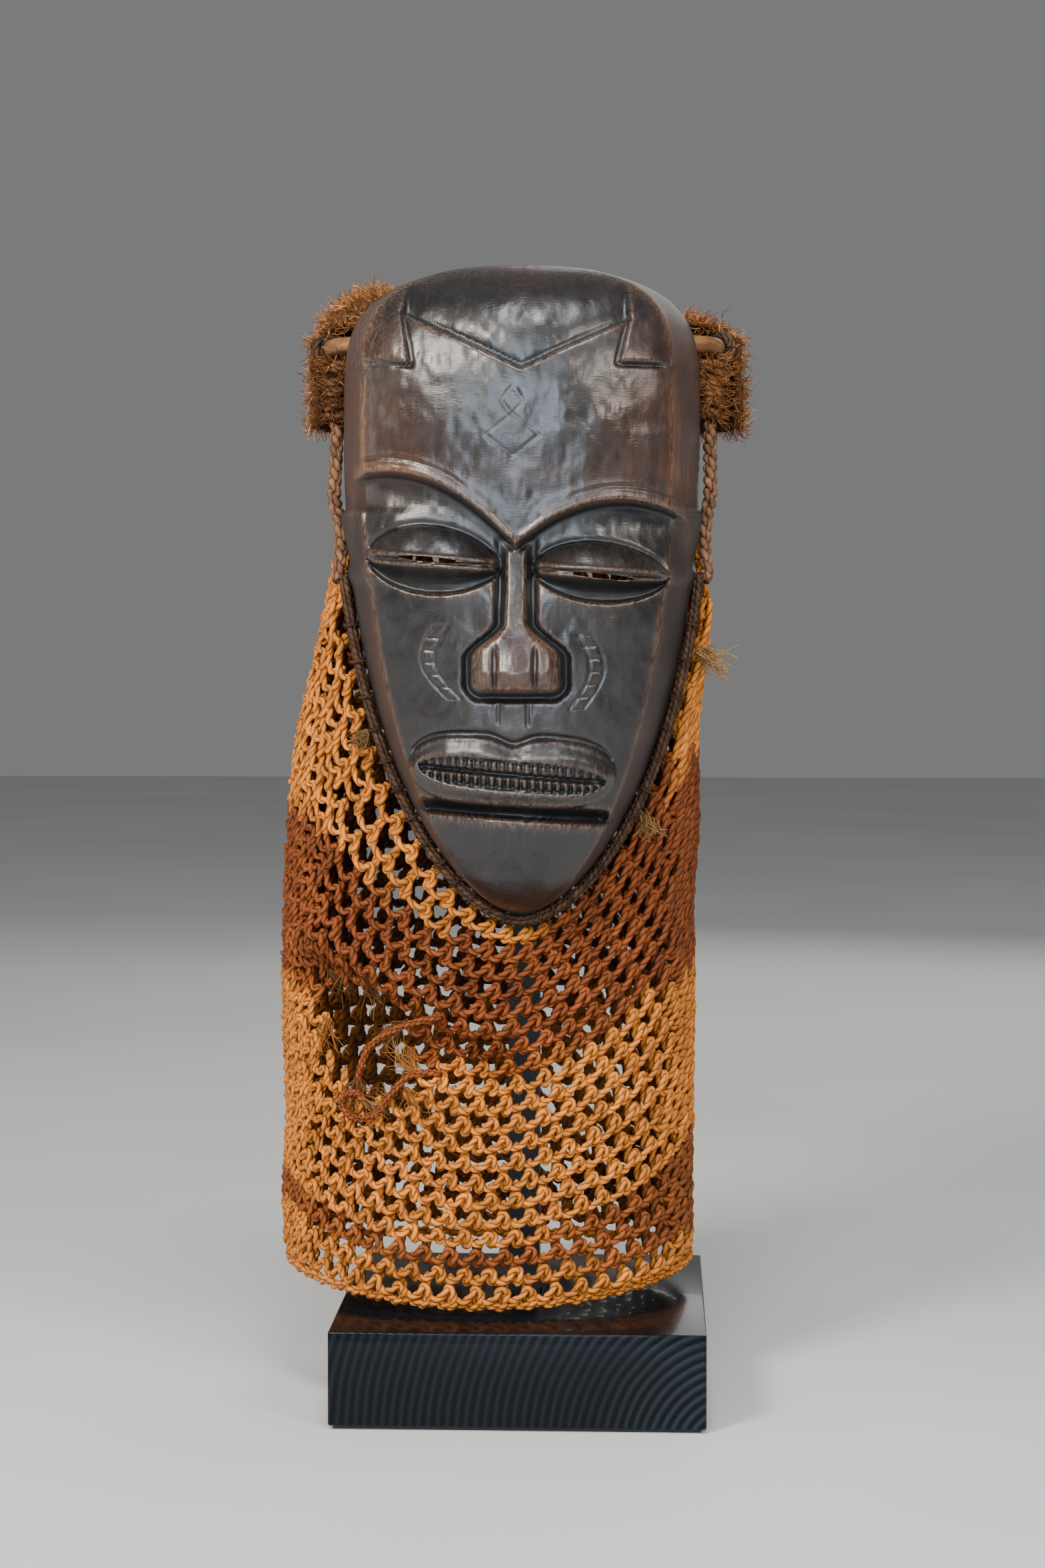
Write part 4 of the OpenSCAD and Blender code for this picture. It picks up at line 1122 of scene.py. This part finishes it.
class MASK_OT_block(bpy.types.Operator):
    """Add the lacquered block, with the post's socket in its top, and the felt under it."""

    bl_idname = "mask.block"
    bl_label = "Block"

    def execute(self, context):
        size = BLOCK_HIGH - BLOCK_LOW
        deselect()
        bpy.ops.mesh.primitive_cube_add(size=1, location=(BLOCK_LOW + BLOCK_HIGH) / 2, scale=size)
        block = settle(context.object)
        block.name = "lacquered_block"
        bpy.ops.object.mode_set(mode="EDIT")
        bpy.ops.mesh.select_all(action="DESELECT")
        bpy.ops.mesh.select_mode(type="FACE")
        bpy.ops.object.mode_set(mode="OBJECT")
        for face in block.data.polygons:
            face.select = face.normal.z > 0.9
        bpy.ops.object.mode_set(mode="EDIT")
        bpy.ops.mesh.inset(thickness=size.x / 2 - POST_HIGH.x - 0.00015)
        bpy.ops.mesh.extrude_region_move(TRANSFORM_OT_translate={"value": (0, 0, POST_LOW.z - BLOCK_HIGH.z)})
        bpy.ops.object.mode_set(mode="OBJECT")
        round_edges(block, 0.0008, 3)
        seat(block, "stand", "black_lacquer", finish("black_lacquer"), "base_block")
        deselect()
        size = FELT_HIGH - FELT_LOW
        bpy.ops.mesh.primitive_cube_add(size=1, location=(FELT_LOW + FELT_HIGH) / 2, scale=size)
        felt = settle(context.object)
        felt.name = "felt_sheet"
        round_edges(felt, 0.0004, 2)
        seat(felt, "stand", "black_felt", finish("black_felt"), "base_felt")
        return {"FINISHED"}


def round_edges(piece, width, segments):
    pick_only(piece)
    bevel = piece.modifiers.new("round", "BEVEL")
    bevel.width, bevel.segments, bevel.limit_method = width, segments, "ANGLE"
    bpy.ops.object.modifier_apply(modifier=bevel.name)
    bpy.ops.object.shade_smooth_by_angle(angle=math.radians(40))


class MASK_OT_metalwork(bpy.types.Operator):
    """Finish the post, bracket, collar, screws, pads and hoop, whose shapes are the frame's own."""

    bl_idname = "mask.metalwork"
    bl_label = "Metalwork and cane"

    def execute(self, context):
        wanted = {
            "stand_post": "blackened_steel", "bracket": "blackened_steel", "stem_collar": "blackened_steel",
            "post_screw": "zinc_steel", "post_washer": "zinc_steel", "collar_setscrew": "zinc_steel",
            "forehead_pad": "pad_rubber", "side_pads": "pad_rubber", "cane_hoop": "cane",
        }
        for node, slot in wanted.items():
            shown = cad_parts[node]
            shown.data.materials.clear()
            shown.data.materials.append(finish(slot))
        return {"FINISHED"}


class MASK_OT_face(bpy.types.Operator):
    """Carve the wooden face, with its hollow back and its two eye slits."""

    bl_idname = "mask.face"
    bl_label = "Carved face"

    def execute(self, context):
        size = context.scene.mask_carving
        face = carve_mask("carved_face", size)
        cut_eye_slits(face, size)
        seat(face, "mask_unit", "carved_wood", finish("carved_wood"), "mask_face")
        return {"FINISHED"}


class MASK_OT_rim(bpy.types.Operator):
    """Wind the dark cord round the rim and tie it on."""

    bl_idname = "mask.rim"
    bl_label = "Rim cord"

    def execute(self, context):
        scene = context.scene
        size, net = scene.mask_carving, scene.mask_hood
        tone = np.array(scene.mask_colours.dark_cord)
        rng = np.random.default_rng(net.seed + 7)
        cord = Strands(8)
        line = rim_line(np.linspace(-93, 93, 620), net.rim_cord / MM / 2 + 0.5, size, 2.0)
        shade = tone * np.exp(rng.normal(0, 0.15, (620, 1)))
        twisted(cord, line, (0, -1, 0), net.rim_cord, shade, 0.0088, plies=3)
        seat(cord.piece("rim_rope"), "mask_unit", "dark_cord", finish("dark_cord"), "rim_cord")
        ties = Strands(6)
        for t in np.concatenate([np.linspace(-84, -8, 13), np.linspace(8, 84, 13)]):
            around = np.radians(np.linspace(-200, 200, 22))
            reach, high = 2.8, 2.8
            ring_out = net.rim_cord / MM / 2 + 0.6 + reach * np.cos(around)
            ring_w = 2.2 + high * np.sin(around)
            slide = t + np.linspace(-0.35, 0.35, 22) + rng.normal(0, 0.2)
            places = np.concatenate([rim_line([s], o, size, w) for s, o, w in zip(slide, ring_out, ring_w)])
            ties.sweep(places, (0.1, 0.2, 1.0), 0.0006, tone * rng.uniform(0.6, 1.3))
        seat(ties.piece("rim_thread"), "mask_unit", "dark_cord", finish("dark_cord"), "rim_ties")
        return {"FINISHED"}


class MASK_OT_hood(bpy.types.Operator):
    """Loop the hood row by row, band by band, with the hem cord and the torn place."""

    bl_idname = "mask.hood"
    bl_label = "Looped hood"

    def execute(self, context):
        scene = context.scene
        hood, made, ends = loop_hood(scene)
        for band, parts in made.items():
            slot = "russet_cord" if "russet" in band else "ochre_cord"
            for k, strands in enumerate(parts):
                stands_for = [band] if k == 0 else []
                seat(strands.piece(f"looped_{band}_{k + 1}"), "mask_unit", slot, finish(slot), *stands_for)
        hem = Strands(8)
        t = np.linspace(-180, 180, 420)
        wave = 0.0006 * np.sin(np.radians(t) * 50)
        line = hood.foot(t) + np.stack([0 * t, 0 * t, wave - 0.0002], -1)
        tone = np.array(scene.mask_colours.ochre) * 0.9
        twisted(hem, line, (0, 0, 1), 0.0042, tone, 0.0080)
        seat(hem.piece("hem_rope"), "mask_unit", "ochre_cord", finish("ochre_cord"), "hem_cord")
        rng = np.random.default_rng(hood.net.seed + 9)
        frays = Strands(3)
        for place, way, tone, out in ends:
            n = 26
            lean = unit(0.6 * way + rng.normal(0, 0.35, 3) + 0.30 * out + np.array([0, 0, -0.55]))
            ways = unit(lean + rng.normal(0, 0.20, (n, 3)))
            blond = mix(tone, np.array(BLOND), rng.uniform(0.0, 0.75, (n, 1)) * rng.uniform(0.3, 1.0))
            roots = place + rng.normal(0, 0.0006, (n, 3))
            curly_fibres(frays, roots, ways, rng.uniform(0.007, 0.019, n), 0.00062, blond, rng)
        for t, reach in EDGE_TUFTS:
            place, out = hood.place(np.array([t]), np.array([0.985]))
            n = 60
            ways = unit(out + np.array([0.3 * np.sign(t), -0.5, -0.9]) + rng.normal(0, 0.28, (n, 3)))
            blond = np.array(BLOND) * rng.uniform(0.6, 1.3, (n, 1))
            roots = place + rng.normal(0, 0.0012, (n, 3))
            curly_fibres(frays, roots, ways, reach * rng.uniform(0.5, 1.2, n), 0.0006, blond, rng)
        seat(frays.piece("torn_ends"), "mask_unit", "ochre_cord", finish("ochre_cord"))
        return {"FINISHED"}


class MASK_OT_headdress(bpy.types.Operator):
    """Tie the lashings, knots and side ropes, and pile the chopped fibre on the hoop."""

    bl_idname = "mask.headdress"
    bl_label = "Headdress"

    def execute(self, context):
        scene = context.scene
        lash_hoop(scene, "left_hoop_lashing")
        lash_hoop(scene, "right_hoop_lashing")
        for side in ("left", "right"):
            tie_knot(scene, side)
            lay_rope(scene, side)
        pile_fibres(scene)
        return {"FINISHED"}


def lash_hoop(scene, node):
    low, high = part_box(node)
    centre = (low + high) / 2
    tone = np.array(scene.mask_colours.dark_cord)
    rng = np.random.default_rng(len(node))
    strands = Strands(6)
    reach = (high.x - low.x) / 2 - 0.0015
    turns = 7
    angle = np.linspace(0, turns * 2 * np.pi, turns * 20)
    y = np.linspace(low.y + 0.0012, high.y - 0.0012, len(angle)) + 0.0006 * np.sin(angle * 0.7)
    r = reach + 0.0003 * np.sin(angle * 1.7)
    line = np.stack([centre.x + r * np.cos(angle), y, centre.z + r * np.sin(angle)], -1)
    strands.sweep(line, (0, 1, 0), 0.00135, tone * 1.1)
    for k in range(3):
        lean = rng.uniform(-0.5, 0.5)
        loop = np.linspace(0, 2 * np.pi, 26)
        x = centre.x + (reach + 0.0016) * np.cos(loop)
        z = centre.z + (reach + 0.0016) * np.sin(loop)
        cross = centre.y + (k - 1) * 0.004 + lean * 0.009 * np.cos(loop)
        strands.sweep(np.stack([x, cross, z], -1), (0, 1, 0), 0.0013, tone * rng.uniform(0.8, 1.9))
    seat(strands.piece(node + "_wound"), "mask_unit", "dark_cord", finish("dark_cord"), node)


def tie_knot(scene, side):
    node = side + "_side_knot"
    low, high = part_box(node)
    centre = (low + high) / 2
    rng = np.random.default_rng(40 + len(side))
    tone = np.array(scene.mask_colours.fibre) * (0.55 if side == "left" else 0.95)
    cords = Strands(6)
    for k in range(9):
        z = mix(high.z - 0.004, low.z + 0.004, k / 8)
        r = 0.0050 * (1 - 0.25 * k / 8)
        loop = np.linspace(0, 2 * np.pi, 22)
        tilt = rng.uniform(-0.6, 0.6)
        lift = r * tilt * np.cos(loop + rng.uniform(0, 6))
        line = np.stack([centre.x + r * np.cos(loop), centre.y + r * np.sin(loop), z + lift], -1)
        cords.sweep(line, (0, 0, 1), 0.0014, tone * rng.uniform(0.6, 1.3))
    seat(cords.piece(side + "_knot_turns"), "mask_unit", "chopped_fibre", finish("brown_cord"), node)
    n = 420
    fibres = Strands(3)
    angle, rise = rng.uniform(0, 2 * np.pi, n), rng.uniform(0, 1, n)
    r = 0.0052 * (1 - 0.2 * rise)
    ring = np.stack([np.cos(angle), np.sin(angle), rng.normal(0, 0.5, n)], -1)
    roots = np.stack([centre.x + r * np.cos(angle), centre.y + r * np.sin(angle), mix(high.z, low.z, rise)], -1)
    lengths = rng.uniform(0.003, 0.008, n)
    curly_fibres(fibres, roots, unit(ring), lengths, 0.0005, tone * np.exp(rng.normal(0, 0.6, (n, 1))), rng)
    seat(fibres.piece(side + "_knot_fibres"), "mask_unit", "chopped_fibre", finish("chopped_fibre"))


def lay_rope(scene, side):
    node = side + "_side_rope"
    low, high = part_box(node)
    sign = -1 if side == "left" else 1
    x = (low.x + high.x) / 2
    middle = (MASK_LOW.z + MASK_HIGH.z) / 2
    r = (high.x - low.x) / 2
    ear = sign * (half_width(np.array(24.0), scene.mask_carving) * MM + 0.0015)
    points = np.array([
        (x, high.y - r, high.z),
        (x, high.y - r - 0.002, mix(high.z, low.z, 0.3)),
        (x, low.y + r + 0.002, mix(high.z, low.z, 0.7)),
        (x, low.y + r, low.z),
        (x * 0.4 + ear * 0.6, low.y + r + 0.004, middle + 0.030),
        (ear, low.y + r + 0.004, middle + 0.018),
        (sign * 0.0745, MASK_HIGH.y - 0.001, middle + 0.004),
    ])
    strands = Strands(8)
    line = smooth_line(points, 16)
    rng = np.random.default_rng(50)
    tone = np.array(scene.mask_colours.brown_cord) * np.exp(rng.normal(0, 0.2, (len(line), 1)))
    twisted(strands, line, (0, -1, 0), scene.mask_headdress.rope, tone, 0.0100)
    seat(strands.piece(side + "_rope_twisted"), "mask_unit", "brown_cord", finish("brown_cord"), node)


def pile_fibres(scene):
    """The netted cap and pile as a lumpy core, and the short curly fibres that cover it."""
    tone = np.array(scene.mask_colours.fibre)
    size = scene.mask_headdress
    rng = np.random.default_rng(size.seed)
    halves = []
    for node in ("cap_foundation", "hair_pile"):
        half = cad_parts[node].copy()
        half.data = half.data.copy()
        half.parent = None
        bpy.context.collection.objects.link(half)
        halves.append(half)
    deselect()
    for half in halves:
        half.select_set(True)
    core = halves[1]
    bpy.context.view_layer.objects.active = core
    bpy.ops.object.join()
    core.name = "pile_core"
    for key in list(core.keys()):
        del core[key]
    pick_only(core)
    bpy.ops.object.mode_set(mode="EDIT")
    bpy.ops.mesh.select_all(action="SELECT")
    bpy.ops.mesh.remove_doubles(threshold=0.00002)
    bpy.ops.object.mode_set(mode="OBJECT")
    remesh = core.modifiers.new("even", "REMESH")
    remesh.mode, remesh.voxel_size = "VOXEL", 0.0018
    bpy.ops.object.modifier_apply(modifier=remesh.name)
    mesh = core.data
    co = np.empty(len(mesh.vertices) * 3, np.float32)
    mesh.vertices.foreach_get("co", co)
    co = co.reshape(-1, 3).astype(float)
    normal = np.array([v.normal[:] for v in mesh.vertices])
    lump = uneven(co[:, 0] / 0.006 + 30, co[:, 1] / 0.006 + co[:, 2] / 0.007 + 30, size.seed)
    clump = uneven(co[:, 0] / 0.014 + 9, co[:, 1] / 0.013 + co[:, 2] / 0.012 + 9, size.seed + 1)
    middle = (np.array(HOOP_LOW) + np.array(HOOP_HIGH)) / 2
    outer = ease(0.0, 0.010, ((co - middle) * normal).sum(1))
    co += normal * (outer * (0.0008 * lump + 0.0019 * clump - 0.0018))[:, None]
    base = HOOP_HIGH.z
    hidden = 1 - 0.24 * (1 - ease(0.046, 0.066, np.abs(co[:, 0])))
    co[:, 2] = np.where(co[:, 2] > base, base + (co[:, 2] - base) * hidden, co[:, 2])
    mesh.vertices.foreach_set("co", co.astype(np.float32).ravel())
    mesh.polygons.foreach_set("use_smooth", np.ones(len(mesh.polygons), bool))
    layer = mesh.color_attributes.new("dye", "FLOAT_COLOR", "POINT")
    # painted shade: the core is coloured at about a third of the fibre's tone, as the shade deep in the pile,
    # lighter on lumps that stand out and darker on those that sink in
    shade = np.hstack([tone * (0.32 + 0.12 * lump)[:, None], np.ones((len(co), 1))])
    layer.data.foreach_set("color", shade.astype(np.float32).ravel())
    mesh.update()
    seat(core, "mask_unit", "chopped_fibre", finish("chopped_fibre"), "hair_pile", "cap_foundation")
    normal = np.array([v.normal[:] for v in mesh.vertices])
    outward = ((co - middle) * normal).sum(1) > 0.012
    behind = co[:, 1] > HOOP_LOW.y + 0.003
    chosen = rng.choice(np.flatnonzero(outward & behind), size.fibres)
    high = co[chosen, 2] > HOOP_HIGH.z + 0.004
    side = np.where(high, np.where(co[chosen, 0] < 0, "top_left", "top_right"), "skirt")
    for part in ("top_left", "top_right", "skirt"):
        here = chosen[side == part]
        n = len(here)
        strands = Strands(3)
        ways = unit(normal[here] * 0.5 + rng.normal(0, 0.7, (n, 3)))
        darker_right = np.where(co[here, 0:1] > 0, [[0.95, 0.80, 0.68]], [[1.0, 1.0, 1.0]])
        shade = tone * np.exp(rng.normal(0.05, 0.60, (n, 1))) * darker_right
        straw = rng.uniform(size=(n, 1)) < 0.10
        shade = np.where(straw, np.array(BLOND) * rng.uniform(0.4, 0.9, (n, 1)), shade)
        curly_fibres(strands, co[here] - normal[here] * 0.0012, ways, size.fibre_length * rng.uniform(0.45, 1.0, n),
                     size.fibre, shade, rng, curl=0.42)
        seat(strands.piece("pile_fibres_" + part), "mask_unit", "chopped_fibre", finish("chopped_fibre"))


class MASK_PT_panel(bpy.types.Panel):
    """Lists the pieces of the mask and their sizes."""

    bl_label = "Carved mask"
    bl_idname = "MASK_PT_panel"
    bl_space_type = "VIEW_3D"
    bl_region_type = "UI"
    bl_category = "Mask"

    def draw(self, context):
        for name in ("mask_carving", "mask_hood", "mask_headdress", "mask_colours"):
            box = self.layout.box()
            group = getattr(context.scene, name)
            for key in type(group).__annotations__:
                box.prop(group, key)
        for operator in OPERATORS:
            self.layout.operator(operator.bl_idname)


GROUPS = {
    "mask_carving": MASK_PG_carving, "mask_hood": MASK_PG_hood,
    "mask_headdress": MASK_PG_headdress, "mask_colours": MASK_PG_colours,
}
OPERATORS = [
    MASK_OT_stage, MASK_OT_free_strands, MASK_OT_block, MASK_OT_metalwork,
    MASK_OT_face, MASK_OT_rim, MASK_OT_hood, MASK_OT_headdress,
]


def register():
    for made in (*GROUPS.values(), *OPERATORS, MASK_PT_panel):
        bpy.utils.register_class(made)
    for name, group in GROUPS.items():
        setattr(bpy.types.Scene, name, bpy.props.PointerProperty(type=group))


def unregister():
    for name in GROUPS:
        delattr(bpy.types.Scene, name)
    for made in (MASK_PT_panel, *reversed(OPERATORS), *GROUPS.values()):
        bpy.utils.unregister_class(made)


def main():
    register()
    bpy.ops.mask.stage()
    bpy.ops.mask.free_strands()
    bpy.ops.mask.block()
    bpy.ops.mask.metalwork()
    bpy.ops.mask.face()
    bpy.ops.mask.rim()
    bpy.ops.mask.hood()
    bpy.ops.mask.headdress()


if __name__ == "__main__":
    main()
